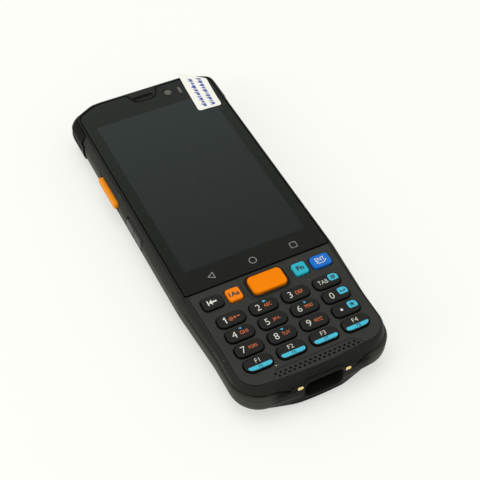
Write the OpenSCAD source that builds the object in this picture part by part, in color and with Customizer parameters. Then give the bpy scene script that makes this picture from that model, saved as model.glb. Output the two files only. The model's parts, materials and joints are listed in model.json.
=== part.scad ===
// Portable barcode data terminal: touch screen, keypad and scan keys in a two-shell body.
// Millimetres. X to the right, Y towards the scanner end, Z up out of the screen.
// The origin is at the middle of the footprint, on the surface that the back rests on.

/* [Body] */
// Length from the dock end to the scanner end
body_l = 165.2; // [164:0.1:172]
// Width across the screen end
head_w = 67; // [66.5:0.1:72]
// Width across the keypad end
grip_w = 63.4; // [62.8:0.1:66]
// Thickness from the back to the face of the glass
body_h = 17; // [17:0.1:19]
// Wall thickness of both shells
wall = 1.8; // [1.6:0.1:2.2]
// Height of the front shell, from the joint between the two shells to the face
front_h = 4.8; // [4.4:0.1:5]
// Width of the open line between the two shells
seam_gap = 0.1; // [0.05:0.05:0.3]
// How far the front shell stands back from the rear shell at the dock end
dock_step = 1.2; // [0.6:0.1:1.6]
// How far it stands back at the sides of the keypad end
grip_step = 0.5; // [0:0.1:0.8]
// Height of the groove above the joint at the keypad end
groove_h = 0.8; // [0.4:0.1:1]
// Depth of that groove
groove_d = 0.7; // [0.3:0.1:0.8]
// Inward lean of the sides between the joint and the face
face_lean = 2.1; // [1.8:0.1:2.3]
// How much less the keypad end leans inward
grip_lean_less = 1.3; // [0.8:0.1:1.4]
// Inward run of the rounding at the back
back_round = 6.2; // [5:0.1:6.6]
// Height of the rounding at the back
back_round_h = 8.4; // [7.6:0.1:9]
// Corner radius at the dock end
dock_corner_r = 11.5; // [9:0.5:13]
// How much the dock end bows out in its middle
dock_bow = 2.4; // [1.5:0.1:3]

/* [Glass and display] */
// Distance from the dock end to the lower edge of the glass
keypad_zone = 51.8; // [48:0.1:56]
// Width of the bezel beside the glass
side_bezel = 3.05; // [2.8:0.05:3.4]
// Thickness of the touch glass
glass_t = 1.15; // [0.9:0.05:1.3]
// Gap between the glass and the rim around it
glass_gap = 0.5; // [0.3:0.05:0.6]
// Width of the bezel above the glass
head_bezel = 3.9; // [3.6:0.1:4.4]
// Distance from the side of the glass to the lit area
screen_side = 4.53; // [4.2:0.01:5]
// Distance from the lower edge of the glass to the lit area
screen_low = 10.1; // [9:0.1:12]
// Distance from the upper edge of the glass to the lit area
screen_high = 13; // [12:0.1:14]
// Dark border of the display panel beside the lit area
panel_border = 2.3; // [1.5:0.1:2.4]
// Thickness of the display panel
panel_t = 2.5; // [2.2:0.1:2.6]
// Thickness of the protective film
film_t = 0.12; // [0.08:0.01:0.2]
// Length of the pull tab
tab_l = 25.6; // [20:0.1:26]
// Width of the pull tab
tab_w = 10.7; // [8:0.1:12]
// How much shorter the pull tab is on its right edge
tab_cut = 8; // [0:0.5:9]

/* [Keypad] */
// Distance from the side of the keypad plate to the outer keys
key_margin = 3.8; // [3.2:0.1:4.4]
// Space between neighbouring number keys
key_space_x = 2.6; // [2:0.1:3.2]
// Space between two rows of number keys
key_space_y = 1.55; // [1.3:0.05:1.8]
// Distance from the plate's upper edge to the middle of the first row of number keys
first_row = 15.8; // [15.2:0.1:16.4]
// Distance from the dock end to the middle of the last row
last_row = 13.85; // [13.4:0.05:14.4]
// Corner radius of a number key
key_corner = 2.2; // [1:0.1:2.3]
// Width of the two end keys beside the scan key
end_key_w = 8; // [7:0.1:8.4]
// Width of the two mode keys beside the scan key
mode_key_w = 5.7; // [5:0.1:6]
// Length of the end keys and the mode keys
upper_key_l = 5.7; // [5:0.1:6]
// Space between the scan key and the mode keys
scan_space = 4; // [3.6:0.1:4.6]
// Length of the scan key
scan_key_l = 8.2; // [7:0.1:8.4]
// Height of the keys above the face
key_proud = 0.9; // [0.5:0.1:1.2]
// How much higher the scan key stands
scan_extra = 0.3; // [0:0.1:0.6]
// Travel of a key
key_travel = 0.4; // [0.2:0.05:0.4]
// Gap around each key in the plate
key_gap = 0.2; // [0.15:0.05:0.25]
// Thickness of the keypad plate
plate_t = 1; // [0.8:0.1:1.1]
// Thickness of the deck under the keypad plate
deck_t = 1.4; // [1.2:0.1:1.5]
// Width of the dark line between the glass and the keypad plate
divider = 1; // [0.8:0.1:1.4]
// Diameter of a hole in the loudspeaker grille
grille_hole_d = 0.8; // [0.5:0.05:1]
// Number of holes in each row of the grille
grille_count = 17; // [13:1:17]

/* [Side keys] */
// Length of the side scan key
side_scan_l = 17.5; // [15:0.5:22]
// Height of the volume rocker
side_key_h = 5.4; // [4.6:0.1:5.4]
// How far the side scan key stands out
side_scan_proud = 1.3; // [0.8:0.1:1.6]
// Travel of the side scan key
side_travel = 0.5; // [0.2:0.05:0.5]
// Length of the volume rocker
rocker_l = 14.2; // [13:0.1:16]
// Length of the power key
power_l = 11; // [8:0.5:14]
// Height of the power key
power_h = 4.2; // [3.6:0.1:4.4]
// How far the power key stands out, which is also its travel
power_proud = 0.3; // [0.2:0.05:0.4]
// Gap at the ends of each side key
side_gap = 0.3; // [0.25:0.05:0.35]
// Gap above and below each side key
side_clear = 0.5; // [0.3:0.05:0.5]

/* [Battery and lid] */
// Distance from the dock end to the battery bay
bay_from_dock = 23.1; // [21:0.1:26]
// Distance from the scanner end to the battery bay
bay_from_head = 54.6; // [50:0.1:60]
// Thickness of the battery
battery_t = 5.2; // [4.6:0.1:5.3]
// Gap around the battery in its bay
battery_gap = 0.3; // [0.2:0.05:0.5]
// Distance from the body's side to the lid at the keypad end
lid_margin = 7.6; // [7:0.1:8.4]
// Distance from the battery bay to the lid's lower edge
lid_below = 11.1; // [10.2:0.1:12]
// Width of the land around the battery that the lid's seal lies on
seal_w = 1.2; // [1:0.1:1.4]
// Thickness of the lid
lid_t = 1.1; // [0.9:0.05:1.2]
// How far the lid lies inside the back
lid_inset = 0.3; // [0.2:0.05:0.4]
// Gap around the lid
lid_gap = 0.2; // [0.15:0.05:0.3]
// Radius of the lid's moulded hinge pins
lid_pin_r = 0.5; // [0.4:0.05:0.55]
// Clearance of the hinge pins in their holes
pin_clear = 0.05; // [0.02:0.01:0.08]

/* [Dock end] */
// Width of the dock recess
dock_w = 15.4; // [13:0.1:16]
// Lowest height of the dock recess
dock_low = 5.5; // [5.3:0.1:6]
// Distance from the dock recess to the face
dock_below_face = 3; // [2.8:0.1:4]
// Depth of the dock recess
dock_depth = 5; // [4.2:0.1:5.1]
// Distance of each charging contact from the middle
contact_x = 9.7; // [9.6:0.1:11]
// Width of a charging contact
contact_w = 2.6; // [2:0.1:2.8]
// Height of a charging contact
contact_h = 1.6; // [1.2:0.1:1.8]

/* [Head end] */
// How far the head bumpers stand out
bumper_proud = 0.6; // [0.3:0.1:0.8]
// How far the bumpers reach down from the scanner end
bumper_l = 20.6; // [18:0.1:22]
// Width of the scan window
scan_window_w = 23; // [20:0.5:26]
// Height of the scan window
scan_window_h = 6.4; // [5:0.1:6.6]
// Radius of the rear camera's window
camera_r = 6; // [5:0.1:7]

/* [Hidden] */
$fn = 48;
slack = 0.1;   // face to face clearance inside the body
over = 1;      // how far a cut runs past the face it opens
far = 20;      // reach of a cut that only has to pass the body's side

// Plan of the body
top_y = body_l / 2;
bot_y = -body_l / 2;
half_head = head_w / 2;
half_grip = grip_w / 2;
grip_from = bot_y + 25.1;   // the keypad end is straight up to here
head_from = bot_y + 51.1;   // the screen end is straight from here
groove_to = bot_y + 47.1;   // the groove above the joint ends here
groove_from = contact_x + contact_w / 2 + 2.4;  // and stops here beside the charging contacts
corner_run = 11.2;          // slanted head corners, across
corner_drop = 6;            // slanted head corners, along
corner_r = [5, 14];         // radii at the two ends of the slant
slant = atan(corner_drop / corner_run);
slant_in = [1 / cos(slant) - tan(slant), (1 / cos(slant) - 1) / tan(slant)];
waist_r = 60;

// Levels from the back to the face
seam_z = body_h - front_h;
deck_top = body_h - plate_t;
deck_low = deck_top - deck_t;
glass_low = body_h - glass_t;
panel_top = glass_low - slack;
panel_low = panel_top - panel_t;
frame_t = 0.8;
frame_top = panel_low - slack;
frame_low = frame_top - frame_t;
flange_t = 0.8;
flange_top = deck_low - slack;
flange_low = flange_top - flange_t;
mat_t = 0.5;
mat_top = flange_low - key_travel - 0.05;
mat_low = mat_top - mat_t;
dome_h = 0.4;
pad_board_t = 0.8;
pad_board_top = mat_low - dome_h - 0.05;
pad_board_low = pad_board_top - pad_board_t;
lid_room = 0.5;            // space above the lid for its seal
bay_low = lid_inset + lid_t + lid_room;
bay_roof = bay_low + battery_t + 0.4;
bay_roof_t = 1;
board_low = bay_roof + bay_roof_t + slack;
board_t = 0.9;
board_top = board_low + board_t;

// Plan of the glass and the keypad
glass_w = head_w - 2 * side_bezel;
glass_top_y = top_y - head_bezel;
glass_bot_y = bot_y + keypad_zone;
active_w = glass_w - 2 * screen_side;
active_l = glass_top_y - glass_bot_y - screen_low - screen_high;
active_y = glass_bot_y + screen_low + active_l / 2;
plate_top_y = glass_bot_y - divider;
dock_rim = 0.55;       // width of the rim below the keypad plate
side_rim = 1.2;        // width of the rim beside it
plate_spread = 0.7;    // how much wider the plate is at its upper edge, on each side
plate_half = half_grip - grip_step - face_lean + grip_lean_less - side_rim;
ear_y = glass_top_y - 3.1;
notch_top = 14.4;      // width of the earpiece notch at the glass edge
notch_low = 9.8;       // width of the notch at its foot
notch_d = 5.8;
front_camera_at = [10.2, glass_top_y - 5];
sensor_at = [15.7, glass_top_y - 6];
sensor_w = 1.6;
sensor_l = 4.2;
tab_at = [half_head - 10.05, glass_top_y + 3.3 - tab_l / 2];
tab_turn = -3.3;

// Key places: the scan row hangs from the plate's upper edge, the rest from the first row
upper_y = plate_top_y - 6.2;
scan_y = upper_y + 0.2;
row_y = plate_top_y - first_row;
key_pitch_x = (2 * (plate_half - key_margin) + key_space_x) / 4;
key_pitch_y = (row_y - bot_y - last_row) / 3;
key_w = key_pitch_x - key_space_x;
key_l = key_pitch_y - key_space_y;
key_r = min(key_corner, key_l / 2 - 0.4);
corner_key_r = key_l - key_r - 0.1;
column = [-1.5, -0.5, 0.5, 1.5] * key_pitch_x;
end_x = plate_half + plate_spread - 3 - end_key_w / 2;
mode_x = end_x - (end_key_w + mode_key_w) / 2 - 2.1;
scan_key_w = 2 * (mode_x - scan_space) - mode_key_w;
flange_reach = 0.5;
scan_ring_t = 1.1;
scan_ring_proud = 0.25;
dark = [0.16, 0.155, 0.14];
orange = [1, 0.57, 0.06];
cyan = [0.18, 0.66, 0.78];
blue = [0.1, 0.42, 0.8];

// name, x, y, width, length, corner radius, colour, side of the corner that is rounded more
KEYS = concat(
    [["key_backspace", -end_x, upper_y, end_key_w, upper_key_l, 1.6, dark, 0],
     ["key_alpha", -mode_x, upper_y, mode_key_w, upper_key_l, 1.1, orange, 0],
     ["key_scan", 0, scan_y, scan_key_w, scan_key_l, 1.9, orange, 0],
     ["key_fn", mode_x, upper_y, mode_key_w, upper_key_l, 1.1, cyan, 0],
     ["key_enter", end_x, upper_y, end_key_w, upper_key_l, 1.6, blue, 0]],
    [for (r = [0:3], c = [0:3])
        let (names = [["key_1", "key_2", "key_3", "key_tab"], ["key_4", "key_5", "key_6", "key_0"],
                      ["key_7", "key_8", "key_9", "key_point"], ["key_f1", "key_f2", "key_f3", "key_f4"]])
        [names[r][c], column[c], row_y - r * key_pitch_y, key_w, key_l, key_r, dark,
         r < 3 ? 0 : c == 0 ? -1 : c == 3 ? 1 : 0]]);

// Side keys
side_mid_z = deck_low - 3.6;
power_mid_z = side_mid_z - 0.7;  // middle of the power key and the side scan key
side_scan_y = top_y - 47.4;
side_scan_h = side_key_h - 2.2;
side_scan_room = side_key_h - 1.4;  // height of the room for the side scan key
rocker_y = top_y - 72.8;
side_flange_t = 0.6;
side_flange_x = half_head - wall - 0.15;
side_flange_over = 1.2;    // how far a flange reaches past the end of its key
flange_down = 0.35;        // how far it reaches below the opening
flange_up = 0.2;           // how far it reaches above the opening
side_board_x = half_head - 4.6;
side_board_t = 0.5;
switch_x = side_flange_x - side_flange_t - side_travel - slack;
switch_l = 3.6;
rocker_proud = 0.25;
rocker_reach = 5;
rocker_room = 0.25;        // room behind the rocker for its tilt
window_z = 8.4;            // height of the scan window's middle

// Battery bay and lid
bay_top_y = top_y - bay_from_head;
bay_bot_y = bot_y + bay_from_dock;
contact_room = 3.5;
battery_l = bay_top_y - bay_bot_y - contact_room;
lid_w = grip_w - 2 * lid_margin;
battery_w = lid_w - 2 * seal_w;
bay_half = battery_w / 2 + battery_gap;
bay_wall = 1.2;
lid_axis_y = bay_top_y + 6.2;
lid_axis_z = lid_inset + 0.8;
lid_top_y = lid_axis_y - 1;
lid_swing_h = 0.4;
lid_bot_y = bay_bot_y - lid_below;
lid_foot_w = 25;
lid_foot_top = 3;
tray_low = bay_low;
tray_t = 1.2;
tray_rim = 1.4;
ear_x = 17;
ear_w = 3;
ear_r = 0.8;
pin_l = 1.4;
nail_w = 15;
nail_h = 0.9;

contacts_half = 6.2;
contacts_low = tray_low + tray_t + 0.6;
contacts_high = bay_roof - 0.9;

// Fasteners: M2 screws from the back
screw_r = 1;
screw_head_r = 1.75;
screw_head_t = 1.2;
boss_r = 2.3;
screw_at = [[half_grip - 9.4, bot_y + 8], [half_head - 5.2, rocker_y - 21.8],
            [half_head - 7.5, top_y - 12.6]];
screw_seat = [3.4, 3, 3];
screw_top = frame_low + frame_t - 0.1;
screw_clear = 0.03;

// ---------------------------------------------------------------- plan outlines

// Points of a rounded corner at p, between the points before and after it
function corner(before, p, after, r, n) =
    let (u = (before - p) / norm(before - p), v = (after - p) / norm(after - p),
         half = acos(u * v) / 2, back = r / tan(half),
         middle = p + (u + v) / norm(u + v) * r / sin(half),
         first = p + u * back - middle, last = p + v * back - middle,
         a = atan2(first.y, first.x), b = atan2(last.y, last.x),
         turn = b - a > 180 ? b - a - 360 : b - a < -180 ? b - a + 360 : b - a)
    [for (i = [0:n]) middle + r * [cos(a + turn * i / n), sin(a + turn * i / n)]];

// A polygon whose corners are rounded; each corner is x, y, radius, steps
function rounded(list) =
    [for (i = [0:len(list) - 1])
        let (m = len(list), q = list[i], a = list[(i + m - 1) % m], b = list[(i + 1) % m])
        each corner([a.x, a.y], [q.x, q.y], [b.x, b.y], q[2], q[3])];

// Rectangle about the origin, with one radius
function soft_box(w, l, r) =
    rounded([[w / 2, -l / 2, r, 5], [w / 2, l / 2, r, 5], [-w / 2, l / 2, r, 5], [-w / 2, -l / 2, r, 5]]);

// The body's plan, grown by g (inward when negative); step moves the dock end in,
// ease gives back width at the keypad end and lip takes length off the scanner end
function plan(g, step = 0, ease = 0, lip = 0) =
    let (hh = half_head + g, hg = half_grip + g + ease, lo = bot_y + step - g, hi = top_y + g - lip,
         ax = hh, ay = top_y - corner_drop + g * slant_in[0] - lip / 2,
         bx = half_head - corner_run + g * slant_in[1],
         right = [[hg, lo + dock_bow, max(dock_corner_r + g, 2), 8], [hg, grip_from, waist_r, 2],
                  [hh, head_from, waist_r, 2], [ax, ay, max(corner_r[0] + g, 0.8), 5],
                  [bx, hi, max(corner_r[1] + g, 2), 4]])
    rounded(concat([[0, lo, waist_r, 2]], right,
                   [for (i = [len(right) - 1:-1:0]) [-right[i].x, right[i].y, right[i][2], right[i][3]]]));

// A closed skin through rings of equally many points; each ring is [z, points]
module loft(rings) {
    n = len(rings[0][1]);
    top = len(rings) - 1;
    polyhedron(
        points = [for (r = rings) each [for (p = r[1]) [p.x, p.y, r[0]]]],
        faces = concat(
            [[for (i = [0:n - 1]) i]],
            [[for (i = [n - 1:-1:0]) top * n + i]],
            [for (k = [0:top - 1], i = [0:n - 1])
                let (j = (i + 1) % n) [k * n + i, (k + 1) * n + i, (k + 1) * n + j, k * n + j]]),
        convexity = 6);
}

// Inset of the back's rounding at height z
function back_in(z) = z >= back_round_h ? 0 : back_round * pow((back_round_h - z) / back_round_h, 2.2);

// Share of the face's lean that is reached at height z
lean_from = seam_z - 0.6;
face_lip = 0.5;
function lean(z) = z <= lean_from ? 0 : pow((z - lean_from) / (body_h - lean_from), 1.6);

module rear_form(g = 0, low = 0, high = seam_z - seam_gap) {
    levels = [0, 0.5, 1.2, 2.2, 3.6, 5.4, back_round_h];
    inner = [for (z = levels) if (z > low + 0.05 && z < high - 0.05) z];
    loft([for (z = concat([low], inner, [high])) [z, plan(g - back_in(z))]]);
}

// Heights of the rings between low and high, closer together towards the face
function front_levels(low, high) =
    [for (d = [4, 3.2, 2.5, 1.9, 1.3, 0.8, 0.4])
        let (z = body_h - d) if (z > low + 0.05 && z < high - 0.05) z];

module front_form(g = 0, low = seam_z, high = body_h) {
    loft([for (z = concat([low], front_levels(low, high), [high]))
        let (f = lean(z))
        [z, plan(g - face_lean * f, dock_step, grip_lean_less * f - grip_step, face_lip * f)]]);
}

module prism(points, low, high) {
    translate([0, 0, low]) linear_extrude(high - low) polygon(points);
}

module block(x0, x1, y0, y1, z0, z1) {
    translate([x0, y0, z0]) cube([x1 - x0, y1 - y0, z1 - z0]);
}

module both_sides() {
    children();
    mirror([1, 0, 0]) children();
}

module bar_x(x0, x1, y, z, r) {
    translate([x0, y, z]) rotate([0, 90, 0]) cylinder(h = x1 - x0, r = r);
}

// Outline of the glass, with the notch that the earpiece bridge fills; grown by g
function glass_plan(g, notch = true) =
    let (h = glass_w / 2 + g, lo = glass_bot_y - g, hi = glass_top_y + g,
         run = corner_run - 2.6, drop = corner_drop - 1.6,
         a = [h, hi - drop, 4 + g, 5], b = [h - run, hi, 14, 4],
         n1 = [notch_top / 2 - g, hi, 0.5, 2], n2 = [notch_low / 2 - g, hi - notch_d, 1.2, 4],
         middle = notch ? [n1, n2, [-n2.x, n2.y, 1.2, 4], [-n1.x, n1.y, 0.5, 2]] : [])
    rounded(concat([[h, lo, 0.8, 3], a, b], middle,
                   [[-b.x, b.y, 14, 4], [-a.x, a.y, 4 + g, 5], [-h, lo, 0.8, 3]]));

// Outline of the keypad plate, grown by g
function plate_plan(g) =
    let (half_low = plate_half + g, half_top = half_low + plate_spread,
         lo = bot_y + dock_step + face_lean + dock_rim - g)
    rounded([[0, lo, waist_r, 2], [half_low, lo + dock_bow, 7.5, 7], [half_low, grip_from, waist_r, 2],
             [half_top, plate_top_y + g, 0.6, 2], [-half_top, plate_top_y + g, 0.6, 2],
             [-half_low, grip_from, waist_r, 2], [-half_low, lo + dock_bow, 7.5, 7]]);

// Outline of key k, grown by g
function key_plan(k, g = 0) =
    let (w = k[3] / 2 + g, l = k[4] / 2 + g, r = max(k[5] + g, 0.3), big = corner_key_r + g,
         right = k[7] > 0 ? big : r, left = k[7] < 0 ? big : r)
    [for (p = rounded([[w, -l, right, 6], [w, l, r, 6], [-w, l, r, 6], [-w, -l, left, 6]]))
        p + [k[1], k[2]]];

// ---------------------------------------------------------------- keypad

module key_cap(k) {
    top = body_h + key_proud + (k[0] == "key_scan" ? scan_extra : 0);
    crown = 0.5;
    color(k[6]) {
        prism(key_plan(k), flange_low, top - crown);
        hull() {
            prism(key_plan(k), top - crown - 0.01, top - crown);
            prism(key_plan(k, -0.15), top - crown * 0.45, top - crown * 0.4);
            prism(key_plan(k, -0.5), top - 0.01, top);
        }
        prism(key_plan(k, flange_reach), flange_low, flange_top);
    }
}

// Two staggered rows of holes that follow the bowed edge
grille_pitch = 2;
grille_y = bot_y + 7.5;
grille_step = 1.25;
module grille_holes() {
    for (row = [0, 1], i = [0:grille_count - 1]) {
        x = (i - (grille_count - 1) / 2 + row / 2 - 0.25) * grille_pitch;
        translate([x, grille_y - row * grille_step, deck_top - over])
            cylinder(h = plate_t + 2 * over, d = grille_hole_d, $fn = 16);
    }
}

// Fine groove over the grille, from the plate's lower edge up its left, across and down again
grille_half = grille_count * grille_pitch / 2;
grille_foot_y = bot_y + dock_step + face_lean + dock_rim + 1.6;
line_d = 0.2;
module grille_line() {
    prism([[-grille_half - 2, grille_foot_y], [-grille_half + 1.4, grille_y + 1.6],
           [grille_half - 1.4, grille_y + 1.6], [grille_half + 2, grille_foot_y],
           [grille_half + 1.5, grille_foot_y], [grille_half - 1.6, grille_y + 1.25],
           [-grille_half + 1.6, grille_y + 1.25], [-grille_half - 1.5, grille_foot_y]],
          body_h - line_d, body_h + over);
}

module scan_ring_hole(g, low, high) {
    k = KEYS[2];
    prism(key_plan(k, scan_ring_t + g), low, high);
}

module keypad_plate() {
    color([0.25, 0.25, 0.23]) difference() {
        prism(plate_plan(-0.05), deck_top, body_h);
        for (k = KEYS) prism(key_plan(k, key_gap), deck_top - over, body_h + over);
        scan_ring_hole(0.05, deck_top - over, body_h + over);
        grille_holes();
        grille_line();
    }
}

module scan_key_ring() {
    color([0.09, 0.09, 0.085]) difference() {
        scan_ring_hole(0, deck_top, body_h + scan_ring_proud);
        prism(key_plan(KEYS[2], key_gap), deck_top - over, body_h + over);
    }
}

// A sheet under all the keys, reaching past the outer ones by edge
module key_sheet(edge, low, t) {
    y0 = row_y - 3 * key_pitch_y - key_l / 2 - edge / 3;
    y1 = plate_top_y - 1;
    translate([0, (y0 + y1) / 2, low]) linear_extrude(t)
        polygon(soft_box(2 * (column[3] + key_w / 2 + edge), y1 - y0, 3));
}

module key_mat() {
    color([0.3, 0.3, 0.3]) key_sheet(1.8, mat_low, mat_t);
}

module key_domes() {
    color([0.75, 0.75, 0.72])
        for (k = KEYS) translate([k[1], k[2], pad_board_top])
            cylinder(h = dome_h, r1 = 2.2, r2 = 1.3, $fn = 24);
}

module keypad_board() {
    color([0.1, 0.35, 0.2]) key_sheet(1.3, pad_board_low, pad_board_t);
}

// ---------------------------------------------------------------- front shell

bumper_from = top_y - bumper_l;
bumper_front_from = bumper_from + 1.9;
bumper_in = 0.9;
bumper_low = 5;
bumper_high = body_h - 0.6;

// Inset of a front bumper's inner face, and how far the bumper stands out, at height z
function bumper_inset(z) = face_lean * lean(z) + max(0.45, bumper_in - lean(z));
function bumper_out(z) = bumper_proud * (1 - 0.8 * lean(z)) - face_lean * lean(z);

// Where a head bumper sits, left and right: outside the plan set in by g
module bumper_room(g, low, high, y0) {
    both_sides() difference() {
        block(half_head - corner_run - 1, half_head + far, y0, top_y + far, low, high);
        prism(plan(g), low - over, high + over);
    }
}

// The same in the front housing, where the inner face leans with the side
module front_bumper_room(g, low, high, y0) {
    both_sides() difference() {
        block(half_head - corner_run - 1, half_head + far, y0, top_y + far, low, high);
        loft([for (z = concat([low - over], front_levels(seam_z, high), [high + over]))
            [z, plan(g - bumper_inset(z), 0, 0, face_lip * lean(z))]]);
    }
}

// Opening in the right side for a key of length l and height h
module side_opening(y, z, l, h) {
    block(half_head - wall - 2.2, half_head + far, y - l / 2 - side_gap, y + l / 2 + side_gap,
          z - h / 2 - side_clear, z + h / 2 + side_clear);
}

module side_openings() {
    mirror([1, 0, 0]) {
        side_opening(side_scan_y, power_mid_z, side_scan_l, side_scan_room);
        side_opening(rocker_y, side_mid_z, rocker_l, side_key_h);
    }
    side_opening(rocker_y, power_mid_z, power_l, power_h);
}

dock_high = body_h - dock_below_face;
module dock_room() {
    translate([0, bot_y + dock_depth, (dock_low + dock_high) / 2]) rotate([90, 0, 0])
        linear_extrude(dock_depth + over) polygon(soft_box(dock_w, dock_high - dock_low, 2.4));
}

// Back and sides of the recess, with the hole that the socket looks out of
dock_wall = 1.4;
dock_back = 1;
dock_foot_w = 20;          // width of the block that runs from the recess down to the table
dock_foot_flare = 6;       // how much wider the block is on each side where it meets the body
dock_foot_d = 6;
socket_w = 9;
socket_h = 3.2;
socket_wall = 0.3;
module dock_box(low, high) {
    block(-dock_w / 2 - dock_wall, dock_w / 2 + dock_wall, bot_y, bot_y + dock_depth + dock_back, low, high);
}

module socket_hole() {
    translate([0, socket_back + slack, socket_z]) rotate([90, 0, 0])
        linear_extrude(far) polygon(soft_box(socket_w + 2 * slack, socket_h + 2 * slack, socket_h / 2));
}

module contact_shape(g, y0, y1) {
    both_sides() translate([contact_x, y1, seam_z - seam_gap / 2]) rotate([90, 0, 0])
        linear_extrude(y1 - y0)
            polygon(soft_box(contact_w + 2 * g, contact_h + 2 * g, contact_h / 2 + g - 0.02));
}

// Block below the recess, which keeps the end upright where the back is rounded
module dock_foot(low, high) {
    w = dock_foot_w / 2;
    intersection() {
        loft([[low, plan(-1)], [low + 0.4, plan(-0.4)], [low + 1, plan(-0.1)], [low + 1.6, plan(0)],
              [high, plan(0)]]);
        prism([[-w - dock_foot_flare, bot_y + dock_foot_d], [-w, bot_y], [w, bot_y],
               [w + dock_foot_flare, bot_y + dock_foot_d]], low - over, high + over);
    }
}

// Swelling round the upper half of the recess and the contacts, flush with the rear housing
brow = [[0, 0.1], [0.21, 0.15], [0.42, 0.45], [0.58, 1.2], [0.7, 2.3]];  // share of the height, inset
module dock_brow() {
    intersection() {
        block(-groove_from, groove_from, bot_y - over, bot_y + dock_step + wall, seam_z, body_h);
        loft([for (b = brow) [seam_z + b[0] * front_h, plan(-b[1])]]);
    }
}

// Groove above the joint, round the keypad end and up to the charging contacts
module seam_groove() {
    difference() {
        block(-half_grip - far, half_grip + far, bot_y - over, groove_to, seam_z - over, seam_z + groove_h);
        block(-groove_from, groove_from, bot_y - 2 * over, bot_y + 2 * dock_foot_d, seam_z - 2 * over, body_h);
        prism(plan(-groove_d, dock_step, -grip_step), seam_z - 2 * over, seam_z + groove_h + over);
    }
}

module microphone_hole(r) {
    translate([microphone_at.x, bot_y + 7, microphone_at.y]) rotate([90, 0, 0]) cylinder(h = far, r = r);
}

module front_housing() {
    panel_half = active_w / 2 + panel_border + 0.2;
    color([0.2, 0.2, 0.19]) difference() {
        union() {
            difference() {
                front_form();
                prism(plan(-wall, dock_step, -grip_step), seam_z - over, deck_low);
            }
            at_screws([0]) translate([0, 0, seam_z + slack])
                cylinder(h = deck_low + slack - seam_z, r = boss_r - 0.4);
            intersection() {
                dock_box(seam_z, deck_low + slack);
                front_form();
            }
            dock_brow();
        }
        seam_groove();
        // pocket of the glass, with the bridge that carries the earpiece left standing
        prism(glass_plan(glass_gap), glass_low, body_h + over);
        // hole for the display panel
        block(-panel_half, panel_half, glass_bot_y + 4, active_y + active_l / 2 + 3.9,
              deck_low - over, glass_low + over);
        // pocket and key holes of the keypad plate
        prism(plate_plan(0.05), deck_top, body_h + over);
        block(-half_grip, half_grip, plate_top_y - 0.2, plate_top_y + divider, body_h - 0.35, body_h + over);
        for (k = KEYS) prism(key_plan(k, key_gap + 0.05), deck_low - over, deck_top + over);
        block(-grille_half, grille_half, grille_y - grille_step - 0.8, grille_y + 0.9,
              deck_low - over, deck_top + over);
        microphone_hole(0.45);
        // front camera, light sensor and earpiece
        translate([front_camera_at.x, front_camera_at.y, deck_low - over])
            cylinder(h = far, r = 3.1);
        translate([sensor_at.x, sensor_at.y, deck_low - over])
            linear_extrude(far) polygon(soft_box(sensor_w + 0.6, sensor_l + 0.8, 0.3));
        translate([-0.5, ear_y, deck_low - over]) linear_extrude(far) polygon(soft_box(9.2, 1.9, 0.9));
        // dock end and sides
        dock_room();
        socket_hole();
        contact_shape(0.08, bot_y - over, bot_y + 7);
        side_openings();
        front_bumper_room(0, seam_z - over, bumper_high + slack, bumper_front_from - slack);
        at_screws([0]) translate([0, 0, seam_z - over])
            cylinder(h = screw_top + 0.2 - seam_z + over, r = screw_r + screw_clear);
    }
}

module earpiece_mesh() {
    color([0.08, 0.08, 0.08]) difference() {
        translate([-0.5, ear_y, body_h - 1.1]) linear_extrude(0.6) polygon(soft_box(9, 1.7, 0.8));
        for (i = [-4:3]) translate([-0.1 + i, ear_y, body_h - 1.1 - over]) rotate([0, 0, -25])
            block(-0.2, 0.2, -0.55, 0.55, 0, 3 * over);
    }
}

module earpiece() {
    color([0.6, 0.6, 0.6])
        block(-6.2, 5.2, ear_y - 3.4, ear_y + 2, frame_top + slack, deck_low - slack);
}

module front_camera() {
    color([0.1, 0.1, 0.12]) translate([front_camera_at.x, front_camera_at.y, frame_top + slack]) {
        cylinder(h = panel_top - frame_top - slack - 0.6, r = 2.9);
        cylinder(h = panel_top - frame_top - slack, r = 1.9);
    }
}

module light_sensor() {
    color([0.4, 0.4, 0.36])
        block(sensor_at.x - sensor_w / 2, sensor_at.x + sensor_w / 2,
              sensor_at.y - sensor_l / 2, sensor_at.y + sensor_l / 2, frame_top + slack, panel_top);
}

// ---------------------------------------------------------------- display

module touch_glass() {
    color([0.12, 0.13, 0.13]) prism(glass_plan(0), glass_low, body_h);
}

module screen_film() {
    color([0.5, 0.53, 0.53, 0.3]) prism([
        for (p = glass_plan(-0.8, false)) [p.x, min(p.y, glass_top_y - notch_d - 0.6)]],
        body_h, body_h + film_t);
}

// The tab's upper end is cut along the slanted head corner
module pull_tab() {
    w = tab_w / 2;
    l = tab_l / 2;
    color([0.93, 0.92, 0.87]) translate([tab_at.x, tab_at.y, body_h + film_t]) rotate([0, 0, tab_turn])
        linear_extrude(0.15)
            polygon(rounded([[w, -l, 1.2, 5], [w, l - tab_cut, 0.5, 3], [-w, l, 0.5, 3], [-w, -l, 1.2, 5]]));
}

module display_panel() {
    w = active_w + 2 * panel_border;
    color([0.2, 0.24, 0.26]) block(-w / 2, w / 2, glass_bot_y + 4.2, active_y + active_l / 2 + 3.7,
                                   panel_low, panel_top);
}

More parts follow.
